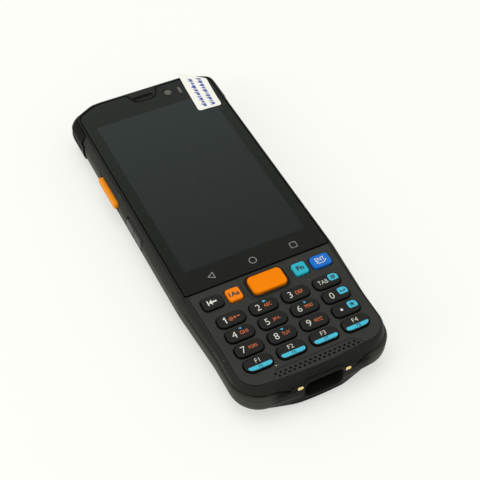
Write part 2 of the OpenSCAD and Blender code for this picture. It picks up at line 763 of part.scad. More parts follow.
// Metal frame that carries the display and takes the screws
module mid_frame() {
    w = active_w / 2 + panel_border;
    ear_half = half_head - wall - 0.3;
    ear_l = 8;
    color([0.62, 0.63, 0.65]) difference() {
        union() {
            block(-w, w, glass_bot_y + 1, top_y - 6.2, frame_low, frame_top);
            // ears that the screws go through
            at_screws([1, 2]) translate([-ear_l / 2 - 0.5, -ear_l / 2, frame_low])
                cube([ear_half - $at.x + ear_l / 2 + 0.5, ear_l, frame_t]);
        }
        at_screws([1, 2]) translate([0, 0, frame_low - over])
            cylinder(h = frame_t + 2 * over, r = screw_r + screw_clear);
    }
}

// ---------------------------------------------------------------- rear shell

module rear_cavity() {
    levels = [wall, 2.6, 3.8, 5.6, 7, back_round_h, seam_z + over];
    loft([for (z = levels) [z, plan(-wall - back_in(z))]]);
}

// Places its children on both sides at each screw in the list
module at_screws(list) {
    for (i = list) both_sides() translate([screw_at[i].x, screw_at[i].y, 0]) {
        $seat = screw_seat[i];
        $at = screw_at[i];
        children();
    }
}

module rear_housing() {
    foot_half = lid_foot_w / 2 + lid_gap;
    color([0.17, 0.17, 0.16]) difference() {
        union() {
            difference() {
                rear_form();
                rear_cavity();
            }
            // floor above the lid, walls and roof of the battery bay, bosses and dock wall
            intersection() {
                rear_form();
                union() {
                    block(-lid_w / 2 - tray_rim, lid_w / 2 + tray_rim, lid_bot_y - tray_rim,
                          lid_axis_y + tray_rim + 1, lid_inset, tray_low + tray_t);
                    block(-lid_foot_w / 2 - tray_rim, lid_foot_w / 2 + tray_rim, bot_y + 3.4, lid_bot_y,
                          wall, lid_foot_top + nail_h + 1);
                    block(-bay_half - bay_wall, bay_half + bay_wall, bay_bot_y - bay_wall,
                          bay_top_y + bay_wall, wall, bay_roof + bay_roof_t);
                    at_screws([0:2]) cylinder(h = seam_z - seam_gap, r = boss_r);
                    dock_box(lid_foot_top + nail_h, seam_z - seam_gap);
                }
            }
            dock_foot(lid_inset, back_round_h);
        }
        // lid recess with its foot, hinge pockets and nail slot
        block(-lid_w / 2 - lid_gap, lid_w / 2 + lid_gap, lid_bot_y - lid_gap, lid_top_y + 0.6,
              -over, tray_low);
        // step that the lid's upper edge swings into
        block(-lid_w / 2 - lid_gap, lid_w / 2 + lid_gap, lid_top_y, lid_axis_y + 0.4, -over, lid_swing_h);
        block(-foot_half, foot_half, bot_y - over, lid_bot_y - 0.4, -over, lid_foot_top + lid_gap);
        block(-foot_half, foot_half, lid_bot_y - 0.5, lid_bot_y, -over, tray_low);
        block(-nail_w / 2, nail_w / 2, bot_y - over, bot_y + 3.2, lid_foot_top, lid_foot_top + nail_h);
        both_sides() {
            block(ear_x - lid_gap, ear_x + ear_w + lid_gap, lid_top_y, lid_axis_y + ear_r + 0.3,
                  -over, lid_axis_z + ear_r + 0.3);
            bar_x(ear_x + ear_w, ear_x + ear_w + pin_l + 0.3, lid_axis_y, lid_axis_z, lid_pin_r + pin_clear);
        }
        // battery bay and its contact window
        block(-bay_half, bay_half, bay_bot_y, bay_top_y, -over, bay_roof);
        block(-contacts_half - slack, contacts_half + slack, bay_top_y - over, bay_top_y + bay_wall + over,
              contacts_low - slack, contacts_high + slack);
        // screws
        at_screws([0:2]) translate([0, 0, -over]) {
            cylinder(h = seam_z + 2 * over, r = screw_r + screw_clear);
            cylinder(h = $seat + over, r = screw_head_r + 0.25);
        }
        // scan window in the scanner end
        block(-scan_window_w / 2 - slack, scan_window_w / 2 + slack, top_y - 1.3, top_y + over,
              window_z - scan_window_h / 2 - slack, window_z + scan_window_h / 2 + slack);
        block(-scan_window_w / 2 + 1, scan_window_w / 2 - 1, top_y - wall - over, top_y,
              window_z - scan_window_h / 2 + 0.7, window_z + scan_window_h / 2 - 0.7);
        // rear camera and flash
        translate([camera_at.x, camera_at.y, -over]) {
            cylinder(h = 1 + over, r = camera_r + slack);
            cylinder(h = wall + 2 * over, r = camera_r - 2);
        }
        translate([flash_at.x, flash_at.y, -over]) cylinder(h = wall + 2 * over, r = 2.1);
        dock_room();
        socket_hole();
        contact_shape(0.08, bot_y - over, bot_y + 7);
        side_openings();
        bumper_room(-bumper_in, bumper_low - slack, seam_z + over, bumper_from - slack);
    }
}

// Rear camera and its flash, side by side
camera_at = [0, lid_axis_y + 16];
flash_at = [11, lid_axis_y + 16];

module battery_lid() {
    color([0.15, 0.15, 0.145]) {
        block(-lid_w / 2, lid_w / 2, lid_bot_y, lid_top_y, lid_inset, lid_inset + lid_t);
        intersection() {
            union() {
                rear_form();
                dock_foot(lid_inset, lid_foot_top + over);
            }
            union() {
                block(-lid_foot_w / 2, lid_foot_w / 2, bot_y - over, lid_bot_y - 0.7,
                      lid_inset, lid_foot_top);
                block(-lid_foot_w / 2, lid_foot_w / 2, lid_bot_y - over, lid_bot_y + 0.5,
                      lid_inset, lid_inset + lid_t);
            }
        }
        both_sides() {
            block(ear_x, ear_x + ear_w, lid_top_y - 0.5, lid_axis_y, lid_inset, lid_inset + lid_t);
            bar_x(ear_x, ear_x + ear_w, lid_axis_y, lid_axis_z, ear_r);
            bar_x(ear_x + ear_w - 0.5, ear_x + ear_w + pin_l, lid_axis_y, lid_axis_z, lid_pin_r);
        }
    }
}

module lid_seal() {
    out_x = lid_w / 2 - 0.2;
    in_x = bay_half + 0.1;
    out_y = [bay_bot_y - 1.4, bay_top_y + 1.4];
    color([0.05, 0.05, 0.05]) difference() {
        block(-out_x, out_x, out_y[0], out_y[1], lid_inset + lid_t + 0.05, tray_low);
        block(-in_x, in_x, bay_bot_y - 0.1, bay_top_y + 0.1, 0, far);
    }
}

module battery() {
    color([0.13, 0.13, 0.15])
        block(-battery_w / 2, battery_w / 2, bay_bot_y + battery_gap, bay_bot_y + battery_gap + battery_l,
              bay_low, bay_low + battery_t);
}

module battery_contacts() {
    tip = bay_bot_y + battery_gap + battery_l + slack;
    color([0.85, 0.7, 0.3]) {
        block(-contacts_half, contacts_half, bay_top_y - 0.4, bay_top_y + bay_wall + 2.4,
              contacts_low, contacts_high);
        for (i = [-1.5:1:1.5]) block(i * 3 - 0.6, i * 3 + 0.6, tip, bay_top_y,
                                     contacts_low + 0.4, contacts_high - 0.4);
    }
}

module head_bumpers() {
    color([0.08, 0.08, 0.08]) {
        intersection() {
            bumper_room(-bumper_in + 0.05, bumper_low, seam_z, bumper_from);
            rear_form(bumper_proud, 0, seam_z);
        }
        intersection() {
            front_bumper_room(0.05, seam_z, bumper_high, bumper_front_from);
            loft([for (z = concat([seam_z], front_levels(seam_z, bumper_high), [bumper_high]))
                [z, plan(bumper_out(z), 0, 0, face_lip * lean(z))]]);
        }
    }
}

module charging_contacts() {
    color([0.85, 0.72, 0.35]) contact_shape(0, bot_y + 0.65, bot_y + 5.6);
}

// ---------------------------------------------------------------- side keys

// A key in the right side wall: cap, and a flange that holds it behind the opening for height room
module side_cap(y, z, l, h, proud, room) {
    crown = min(0.4, proud);
    edge = 1.6;
    translate([0, y, z]) {
        rotate([90, 0, 90]) translate([0, 0, side_flange_x - side_flange_t])
            linear_extrude(half_head + proud - crown - side_flange_x + side_flange_t)
                polygon(soft_box(l, h, edge));
        hull() for (s = [0, 1]) rotate([90, 0, 90])
            translate([0, 0, half_head + proud - crown + s * (crown - 0.01)])
                linear_extrude(0.01)
                    polygon(soft_box(l - 3 * crown * s, h - 3 * crown * s, edge - crown * s));
        side_flange(l / 2 + side_flange_over, room, side_flange_x);
    }
}

module side_flange(reach, h, x) {
    block(side_flange_x - side_flange_t, x, -reach, reach,
          -h / 2 - side_clear - flange_down, h / 2 + side_clear + flange_up);
}

module side_scan_key() {
    color(orange) mirror([1, 0, 0])
        side_cap(side_scan_y, power_mid_z, side_scan_l, side_scan_h, side_scan_proud, side_scan_room);
}

module power_key() {
    color([0.2, 0.2, 0.19]) side_cap(rocker_y, power_mid_z, power_l, power_h, power_proud, power_h);
}

// The rocker turns about an upright line in its middle
module volume_rocker() {
    color([0.3, 0.3, 0.28]) mirror([1, 0, 0]) translate([0, rocker_y, side_mid_z]) {
        rotate([90, 0, 90]) translate([0, 0, side_flange_x - side_flange_t + rocker_room])
            linear_extrude(half_head + rocker_proud - side_flange_x + side_flange_t - rocker_room)
                polygon(soft_box(rocker_l, side_key_h, 1.6));
        side_flange(rocker_reach - 1.5, side_key_h, side_flange_x - rocker_room - slack);
        for (s = [-1, 1]) block(side_flange_x - side_flange_t, side_flange_x,
                                s * rocker_reach - 0.8, s * rocker_reach + 0.8, -0.8, 0.8);
    }
}

// Switch boards behind the side keys
module side_switches() {
    z0 = side_mid_z - 2.2;
    z1 = side_mid_z + 1.2;
    color([0.15, 0.4, 0.25]) {
        mirror([1, 0, 0]) block(side_board_x - side_board_t, side_board_x,
                                rocker_y - rocker_reach - 4, side_scan_y + 12, z0, z1);
        block(side_board_x - side_board_t, side_board_x, rocker_y - 7, rocker_y + 7, z0, z1);
    }
    color([0.7, 0.7, 0.7]) {
        mirror([1, 0, 0]) for (y = [side_scan_y, rocker_y - rocker_reach, rocker_y + rocker_reach])
            side_switch(y, z0, z1);
        side_switch(rocker_y, z0, z1);
    }
}

module side_switch(y, z0, z1) {
    block(side_board_x - slack, switch_x, y - switch_l / 2, y + switch_l / 2, z0 + 0.2, z1 - 0.2);
}

// ---------------------------------------------------------------- electronics

board_half = half_head - 8.5;
socket_back = bot_y + dock_depth + 7.6;
socket_z = pad_board_low - 0.15 - socket_h / 2;
microphone_at = [-12.6, seam_z + 1.1];

module main_board() {
    color([0.08, 0.3, 0.18]) difference() {
        union() {
            block(-board_half, board_half, bay_bot_y - 1, lid_axis_y + 27, board_low, board_top);
            block(-6.4, 6.4, bot_y + dock_depth + 1.4, bay_bot_y, board_low, board_top);
        }
        block(-4.6, 4.6, bot_y, socket_back + slack, 0, far);
        block(-12, 12, lid_axis_y + 23, top_y, 0, far);
    }
}

module shield_cans() {
    // side, distance from the board's edge, distance below the bay's upper end, width, length
    cans = [[-1, 3, 40, 20, 22], [1, 3, 42, 20, 18], [-1, 5, 14, 16, 20], [1, 4, 18, 19, 26]];
    color([0.75, 0.75, 0.76]) for (c = cans) translate([c[0] * (board_half - c[1] - c[3] / 2), 0, 0])
        block(-c[3] / 2, c[3] / 2, bay_top_y - c[2], bay_top_y - c[2] + c[4], board_top, frame_low - 0.3);
}

module usb_socket() {
    color([0.7, 0.7, 0.72]) translate([0, socket_back, socket_z]) rotate([90, 0, 0]) difference() {
        linear_extrude(socket_back - bot_y - dock_depth - slack)
            polygon(soft_box(socket_w, socket_h, socket_h / 2 - slack));
        translate([0, 0, 1.2]) linear_extrude(far)
            polygon(soft_box(socket_w - 2 * socket_wall, socket_h - 2 * socket_wall, socket_h / 2 - 0.4));
    }
}

module loudspeaker() {
    color([0.1, 0.1, 0.1])
        block(-14, 14, bot_y + dock_depth + dock_back + slack, row_y - 3 * key_pitch_y - key_l / 2 - 1,
              socket_z + socket_h / 2 + 0.15, deck_low - slack);
}

module microphone() {
    color([0.7, 0.65, 0.4]) translate([microphone_at.x, bot_y + dock_depth + dock_back, microphone_at.y])
        rotate([90, 0, 0]) cylinder(h = 1.6, r = 1.1);
}

module vibration_motor() {
    color([0.75, 0.75, 0.72]) translate([-18, bay_bot_y - bay_wall - 6, tray_low + tray_t])
        cylinder(h = 2.7, r = 4.5);
}

module scan_engine() {
    z0 = wall + slack;
    end = top_y - 5.8;
    color([0.1, 0.1, 0.12]) {
        block(-10.8, 10.8, top_y - 19, end, z0, frame_low - 0.6);
        translate([4.6, end - slack, window_z]) rotate([-90, 0, 0]) cylinder(h = 3.2, r = 2.6);
        translate([-4.6, end - slack, window_z]) rotate([-90, 0, 0]) cylinder(h = 3.2, r = 2.2);
    }
}

module scan_window() {
    color([0.45, 0.1, 0.1, 0.6]) block(-scan_window_w / 2, scan_window_w / 2, top_y - 1.25, top_y - 0.45,
                                       window_z - scan_window_h / 2, window_z + scan_window_h / 2);
}

module rear_camera() {
    color([0.1, 0.1, 0.1]) translate([camera_at.x, camera_at.y, 0]) {
        block(-4.6, 4.6, -4.6, 4.6, wall + slack, board_low - slack);
        translate([0, 0, 1.1]) cylinder(h = 2, r = camera_r - 2.3);
    }
}

module camera_window() {
    color([0.1, 0.1, 0.12, 0.7]) translate([camera_at.x, camera_at.y, lid_inset])
        cylinder(h = 1 - lid_inset, r = camera_r);
}

module flash_led() {
    color([0.95, 0.93, 0.75]) translate([flash_at.x, flash_at.y, lid_inset])
        cylinder(h = wall - lid_inset, r = 2);
}

module housing_screws() {
    color([0.35, 0.35, 0.36]) at_screws([0:2]) translate([0, 0, $seat]) difference() {
        union() {
            translate([0, 0, -screw_head_t]) cylinder(h = screw_head_t, r = screw_head_r);
            translate([0, 0, -0.2]) cylinder(h = screw_top - $seat + 0.2, r = screw_r);
        }
        translate([0, 0, -screw_head_t - over]) cylinder(h = over + 0.7, r = 0.75, $fn = 6);
    }
}

// ---------------------------------------------------------------- nodes

for (k = KEYS) key_cap(k);
front_housing();
keypad_plate();
scan_key_ring();
key_mat();
key_domes();
keypad_board();
touch_glass();
screen_film();
pull_tab();
display_panel();
mid_frame();
earpiece();
earpiece_mesh();
front_camera();
light_sensor();
rear_housing();
battery_lid();
lid_seal();
battery();
battery_contacts();
head_bumpers();
charging_contacts();
side_scan_key();
power_key();
volume_rocker();
side_switches();
main_board();
shield_cans();
usb_socket();
loudspeaker();
microphone();
vibration_motor();
scan_engine();
scan_window();
rear_camera();
camera_window();
flash_led();
housing_screws();
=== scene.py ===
import json
import math
import bmesh
import bpy
from mathutils import Matrix, Vector

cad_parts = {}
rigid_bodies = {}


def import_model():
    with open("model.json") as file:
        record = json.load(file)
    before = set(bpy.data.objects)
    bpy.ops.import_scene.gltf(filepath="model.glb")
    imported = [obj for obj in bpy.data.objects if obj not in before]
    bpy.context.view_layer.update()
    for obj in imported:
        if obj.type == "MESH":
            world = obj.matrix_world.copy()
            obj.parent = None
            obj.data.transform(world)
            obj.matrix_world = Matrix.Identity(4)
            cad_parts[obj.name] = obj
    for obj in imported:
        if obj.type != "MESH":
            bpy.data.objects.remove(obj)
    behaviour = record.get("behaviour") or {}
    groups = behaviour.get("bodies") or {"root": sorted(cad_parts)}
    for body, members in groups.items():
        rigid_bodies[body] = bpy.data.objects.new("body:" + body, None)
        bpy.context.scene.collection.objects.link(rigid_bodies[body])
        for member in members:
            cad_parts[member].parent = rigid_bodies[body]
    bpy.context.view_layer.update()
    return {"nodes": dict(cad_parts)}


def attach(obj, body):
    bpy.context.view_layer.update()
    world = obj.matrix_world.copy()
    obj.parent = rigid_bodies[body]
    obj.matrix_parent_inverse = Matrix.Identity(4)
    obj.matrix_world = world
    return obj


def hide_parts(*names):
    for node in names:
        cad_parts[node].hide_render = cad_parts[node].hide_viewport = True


# Portable barcode data terminal. Lengths are millimetres until addPiece scales them to metres.
# X right, Y towards the scanner end, Z up out of the screen.

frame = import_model()
print("frame:", len(frame["nodes"]), "nodes")

body = {
    "length": 165.2, "headWidth": 67.0, "gripWidth": 63.4, "height": 17.0, "wall": 1.8,
    "seam": 12.2, "seamGap": 0.1, "dockStep": 1.2, "gripStep": 0.5,
    "grooveHeight": 0.8, "grooveDepth": 0.7, "grooveTo": -35.5,
    "faceLean": 2.1, "gripLeanLess": 1.3, "faceLip": 0.5, "leanFrom": 11.6,
    "backRound": 6.2, "backRoundHeight": 8.4, "dockCorner": 11.5, "dockBow": 2.4,
    "cornerRun": 11.2, "cornerDrop": 6.0, "cornerRadii": (5.0, 14.0), "waistRadius": 60,
    "deckTop": 16.0, "deckLow": 14.6,
}
top, face, seam = body["length"] / 2, body["height"], body["seam"]
bottom = -top
halfHead, halfGrip = body["headWidth"] / 2, body["gripWidth"] / 2
gripFrom, headFrom = bottom + 25.1, bottom + 51.1
glass = {"width": 60.9, "low": -30.8, "high": 78.7, "thick": 1.15, "gap": 0.5, "below": 0.03,
         "notchTop": 14.4, "notchLow": 9.8, "notchDeep": 5.8}
keypad = {"low": bottom + body["dockStep"] + body["faceLean"] + 0.55, "high": -31.8, "half": 29.2,
          "spread": 0.7}


def cornerArc(before, point, after, radius, steps):
    u, v = (before - point).normalized(), (after - point).normalized()
    half = math.acos(max(-1, min(1, u.dot(v)))) / 2
    back = radius / math.tan(half)
    middle = point + (u + v).normalized() * radius / math.sin(half)
    first, last = point + u * back - middle, point + v * back - middle
    a, b = math.atan2(first.y, first.x), math.atan2(last.y, last.x)
    turn = (b - a + math.pi) % math.tau - math.pi
    return [middle + radius * Vector((math.cos(a + turn * i / steps),
                                      math.sin(a + turn * i / steps))) for i in range(steps + 1)]


# each corner is x, y, radius, steps
def roundedOutline(corners):
    points = []
    for i, (x, y, radius, steps) in enumerate(corners):
        before, after = corners[i - 1], corners[(i + 1) % len(corners)]
        points += cornerArc(Vector(before[:2]), Vector((x, y)), Vector(after[:2]), radius, steps)
    return points


# rounded box about (x, y), grown by g
def softBox(width, length, radius, steps=6, x=0, y=0, g=0):
    w, h, r = (width + 2 * g) / 2, (length + 2 * g) / 2, radius + g
    corners = [(w, -h, r, steps), (w, h, r, steps), (-w, h, r, steps), (-w, -h, r, steps)]
    return [p + Vector((x, y)) for p in roundedOutline(corners)]


def circle(x, y, radius, steps=32):
    return [Vector((x + radius * math.cos(math.tau * i / steps),
                    y + radius * math.sin(math.tau * i / steps))) for i in range(steps)]


def mirrored(corners):
    return corners + [(-x, y, r, n) for x, y, r, n in reversed(corners)]


# outline of the body grown by g: step in at the dock end, ease at the grip, lip at the head end
def bodyPlan(g, step=0.0, ease=0.0, lip=0.0):
    drop, run, waist = body["cornerDrop"], body["cornerRun"], body["waistRadius"]
    slant = math.atan(drop / run)
    inAlong = 1 / math.cos(slant) - math.tan(slant)
    inAcross = (1 / math.cos(slant) - 1) / math.tan(slant)
    head, grip, low, high = halfHead + g, halfGrip + g + ease, bottom + step - g, top + g - lip
    first, second = body["cornerRadii"]
    right = [(grip, low + body["dockBow"], max(body["dockCorner"] + g, 2), 16),
             (grip, gripFrom, waist, 4), (head, headFrom, waist, 4),
             (head, top - drop + g * inAlong - lip / 2, max(first + g, 0.8), 10),
             (halfHead - run + g * inAcross, high, max(second + g, 2), 8)]
    return roundedOutline([(0, low, 150, 6)] + mirrored(right))


def glassPlan(g):
    half, low, high = glass["width"] / 2 + g, glass["low"] - g, glass["high"] + g
    side = [(half, low, 0.8, 4), (half, high - (body["cornerDrop"] - 1.6), 4 + g, 10),
            (half - (body["cornerRun"] - 2.6), high, 14, 8),
            (glass["notchTop"] / 2 - g, high, 0.5, 4),
            (glass["notchLow"] / 2 - g, high - glass["notchDeep"], 3.2, 10)]
    return roundedOutline(mirrored(side))


def platePlan(g):
    half, spread, low = keypad["half"] + g, keypad["spread"], keypad["low"] - g
    side = [(half, low + body["dockBow"], 7.5, 14), (half, gripFrom, body["waistRadius"], 4),
            (half + spread, keypad["high"] + g, 0.6, 4)]
    return roundedOutline([(0, low, 150, 6)] + mirrored(side))


# y at x on a run of points with rising x
def heightAt(points, x, missing=None):
    for a, b in zip(points, points[1:]):
        if a.x <= x <= b.x and b.x > a.x:
            return a.y + (b.y - a.y) * (x - a.x) / (b.x - a.x)
    return missing


def smooth(low, high, value):
    t = max(0, min(1, (value - low) / (high - low)))
    return t * t * (3 - 2 * t)


workshop = bpy.data.collections.new("workshop")
bpy.context.scene.collection.children.link(workshop)


def newMesh(points, faces, name="shape"):
    mesh = bpy.data.meshes.new(name)
    mesh.from_pydata([tuple(p) for p in points], [], faces)
    mesh.validate()
    bm = bmesh.new()
    bm.from_mesh(mesh)
    bmesh.ops.recalc_face_normals(bm, faces=bm.faces)
    bm.to_mesh(mesh)
    bm.free()
    return mesh


# a closed skin through rings of equally many 3-D points
def skin(rings):
    n = len(rings[0])
    last = (len(rings) - 1) * n
    faces = [tuple(range(n - 1, -1, -1)), tuple(range(last, last + n))]
    for k in range(0, last, n):
        faces += [(k + i, k + (i + 1) % n, k + n + (i + 1) % n, k + n + i) for i in range(n)]
    return newMesh([p for ring in rings for p in ring], faces)


# an open sheet through rows of points with this many columns
def sheetMesh(points, columns):
    return newMesh(points, [(k + i, k + i + 1, k + columns + i + 1, k + columns + i)
                            for k in range(0, len(points) - columns, columns)
                            for i in range(columns - 1)])


# rings given as (z, outline)
def loft(levels):
    return skin([[(p.x, p.y, z) for p in outline] for z, outline in levels])


# rings given as (z, g) of an outline that shape(g) gives grown by g
def formed(shape, levels):
    return loft([(z, shape(g)) for z, g in levels])


# (z, g) of an edge that rounds over up to height high
def roundedEdge(high, rise, inset, degrees):
    return [(high - rise + rise * math.sin(a), inset * (math.cos(a) - 1))
            for a in map(math.radians, degrees)]


# rings given as (z, radius)
def stack(x, y, levels, steps=32):
    return loft([(z, circle(x, y, radius, steps)) for z, radius in levels])


def prism(outline, low, high):
    return loft([(low, outline), (high, outline)])


def block(x0, x1, y0, y1, z0, z1):
    return prism([Vector((x0, y0)), Vector((x1, y0)), Vector((x1, y1)), Vector((x0, y1))], z0, z1)


# the same from side to side
def slab(half, y0, y1, z0, z1):
    return block(-half, half, y0, y1, z0, z1)


# a sinking tool whose mouth at z = mouth is rounded by radius
def flaredTool(shape, low, mouth, radius, beyond=1.0):
    levels = [(low, 0)]
    for a in (0, 30, 60, 90):
        bend = math.radians(a)
        levels.append((mouth - radius * math.cos(bend),
                       radius * (1 - math.sin(math.pi / 2 - bend))))
    return formed(shape, levels + [(mouth + beyond, levels[-1][1])])


def turned(mesh, matrix):
    mesh.transform(matrix)
    if matrix.determinant() < 0:
        mesh.flip_normals()
    return mesh


# against a wall, a drawn x runs along Y, y along Z and z along X; against an end, x stays X,
# y runs along Z and z along -Y
againstWall = Matrix(((0, 0, 1, 0), (1, 0, 0, 0), (0, 1, 0, 0), (0, 0, 0, 1)))
againstEnd = Matrix(((1, 0, 0, 0), (0, 0, -1, 0), (0, 1, 0, 0), (0, 0, 0, 1)))
leftRight = Matrix.Scale(-1, 4, (1, 0, 0))
upsideDown = Matrix.Scale(-1, 4, (0, 0, 1))


def placed(mesh, x, y, z, lay=Matrix()):
    return turned(mesh, Matrix.Translation((x, y, z)) @ lay)


def bothSides(mesh):
    return [mesh, turned(mesh.copy(), leftRight)]


def onBench(mesh):
    target = bpy.data.objects.new("target", mesh)
    workshop.objects.link(target)
    return target


# the final mesh of an object on the bench, which goes
def takenOff(target):
    mesh = bpy.data.meshes.new_from_object(
        target.evaluated_get(bpy.context.evaluated_depsgraph_get()))
    bpy.data.objects.remove(target)
    return mesh


def applied(mesh, kind, **settings):
    target = onBench(mesh)
    change = target.modifiers.new("change", kind)
    for key, value in settings.items():
        setattr(change, key, value)
    return takenOff(target)


def carve(base, tools, operation="DIFFERENCE"):
    tray = bpy.data.collections.new("tools")
    bpy.context.scene.collection.children.link(tray)
    for tool in tools:
        tray.objects.link(bpy.data.objects.new("tool", tool))
    mesh = applied(base, "BOOLEAN", operation=operation, operand_type="COLLECTION",
                   collection=tray, solver="EXACT")
    for item in list(tray.objects):
        bpy.data.objects.remove(item)
    bpy.data.collections.remove(tray)
    return mesh


def softEdges(mesh, width, angle):
    return applied(mesh, "BEVEL", width=width, segments=3, limit_method="ANGLE",
                   angle_limit=math.radians(angle))


def fromBmesh(bm):
    mesh = bpy.data.meshes.new("shape")
    bm.to_mesh(mesh)
    bm.free()
    return mesh


def joined(meshes):
    bm = bmesh.new()
    for mesh in meshes:
        bm.from_mesh(mesh)
    return fromBmesh(bm)


# puts a mesh into the scene as a piece on a CAD body
def addPiece(name, mesh, finishes, replaces=(), rides="housing", sharp=32,
             weighted=True):
    mesh.transform(Matrix.Scale(0.001, 4))
    if mesh.materials:
        mesh.materials.clear()
    for finishName in finishes:
        mesh.materials.append(finish[finishName])
    mesh.shade_smooth()
    mesh.set_sharp_from_angle(angle=math.radians(sharp))
    if weighted:
        mesh = applied(mesh, "WEIGHTED_NORMAL", keep_sharp=True, weight=60)
    mesh.name = name
    piece = bpy.data.objects.new(name, mesh)
    bpy.context.scene.collection.objects.link(piece)
    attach(piece, rides)
    if replaces:
        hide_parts(*replaces)


# sets a socket to a number, a colour or another node's output
def feed(tree, socket, value):
    if isinstance(value, bpy.types.NodeSocket):
        tree.links.new(value, socket)
    else:
        socket.default_value = (*value, 1) if isinstance(value, tuple) else value


def addNode(tree, kind, inputs, **settings):
    node = tree.nodes.new("ShaderNode" + kind)
    for key, value in settings.items():
        setattr(node, key, value)
    for key, value in inputs.items():
        feed(tree, node.inputs[key], value)
    return node


def mathNode(tree, operation, *values, clamp=False):
    return addNode(tree, "Math", dict(enumerate(values)), operation=operation,
                   use_clamp=clamp).outputs[0]


def newGroup(name, numbers, *results):
    group = bpy.data.node_groups.new(name, "ShaderNodeTree")
    group.interface.new_socket(name="Vector", in_out="INPUT", socket_type="NodeSocketVector")
    for label, value in numbers.items():
        group.interface.new_socket(name=label, in_out="INPUT",
                                   socket_type="NodeSocketFloat").default_value = value
    for label in results:
        group.interface.new_socket(name=label, in_out="OUTPUT", socket_type="NodeSocketFloat")
    start = group.nodes.new("NodeGroupInput").outputs
    return group, start, group.nodes.new("NodeGroupOutput").inputs


# fine moulded grain, and a slow tone that runs over a whole part
def makeGrainGroup():
    group, start, end = newGroup("mouldedGrain", {"Grain": 4000, "Patch": 60}, "Height", "Tone")
    for result, scale, detail in (("Height", "Grain", 2), ("Tone", "Patch", 4)):
        noise = addNode(group, "TexNoise", {"Vector": start["Vector"], "Scale": start[scale],
                                            "Detail": detail})
        group.links.new(noise.outputs["Fac"], end[result])
    return group


# sparse specks of dust
def makeDustGroup():
    group, start, end = newGroup("dustSpecks", {"Scale": 900, "Share": 0.02, "Size": 0.12}, "Mask")
    cells = addNode(group, "TexVoronoi", {"Vector": start["Vector"], "Scale": start["Scale"]})
    near = mathNode(group, "LESS_THAN", cells.outputs["Distance"], start["Size"])
    drawn = addNode(group, "SeparateColor", {0: cells.outputs["Color"]})
    chosen = mathNode(group, "LESS_THAN", drawn.outputs[0], start["Share"])
    group.links.new(mathNode(group, "MULTIPLY", near, chosen), end["Mask"])
    return group


# 1 inside an upright box or round bar about (X, Y), fading over Soft
def makeMaskGroup(name, reaches):
    numbers = {key: 0.001 for key in ("X", "Y", *reaches, "Soft")}
    group, start, end = newGroup(name, numbers, "Mask")
    apart = addNode(group, "SeparateXYZ", {0: start["Vector"]}).outputs
    away = [mathNode(group, "SUBTRACT", apart[axis], start[axis]) for axis in "XY"]
    if len(reaches) == 2:
        away = [mathNode(group, "ABSOLUTE", value) for value in away]
    else:
        squares = [mathNode(group, "POWER", value, 2) for value in away]
        away = [mathNode(group, "SQRT", mathNode(group, "ADD", *squares))]
    parts = []
    for reach, value in zip(reaches, away):
        inside = mathNode(group, "SUBTRACT", start[reach], value)
        parts.append(mathNode(group, "DIVIDE", inside, start["Soft"], clamp=True))
    mask = mathNode(group, "MULTIPLY", *parts) if len(parts) == 2 else parts[0]
    group.links.new(mask, end["Mask"])
    return group


# rows of fine raised dots
def makeDotGroup():
    group, start, end = newGroup("dotGrid", {"Scale": 10000}, "Height")
    apart = addNode(group, "SeparateXYZ", {0: start["Vector"]}).outputs
    waves = [mathNode(group, "SINE", mathNode(group, "MULTIPLY", apart[axis], start["Scale"]))
             for axis in "XY"]
    both = mathNode(group, "MULTIPLY", *waves)
    group.links.new(mathNode(group, "MULTIPLY_ADD", both, 0.5), end["Height"])
    return group


groups = {"grain": makeGrainGroup(), "dust": makeDustGroup(), "dots": makeDotGroup(),
          "box": makeMaskGroup("boxMask", ("Half Width", "Half Length")),
          "round": makeMaskGroup("roundMask", ("Radius",))}


def place(tree, kind, coordinates, **values):
    return addNode(tree, "Group", {"Vector": coordinates, **values},
                   node_tree=groups[kind]).outputs


def mixColour(tree, factor, first, second):
    return addNode(tree, "Mix", {"Factor": factor, 6: first, 7: second},
                   data_type="RGBA").outputs[2]


def spread(tree, value, low, high, fromLow=0.3, fromHigh=0.7):
    return addNode(tree, "MapRange", {"Value": value, "From Min": fromLow, "From Max": fromHigh,
                                      "To Min": low, "To Max": high}).outputs[0]


finish = {}


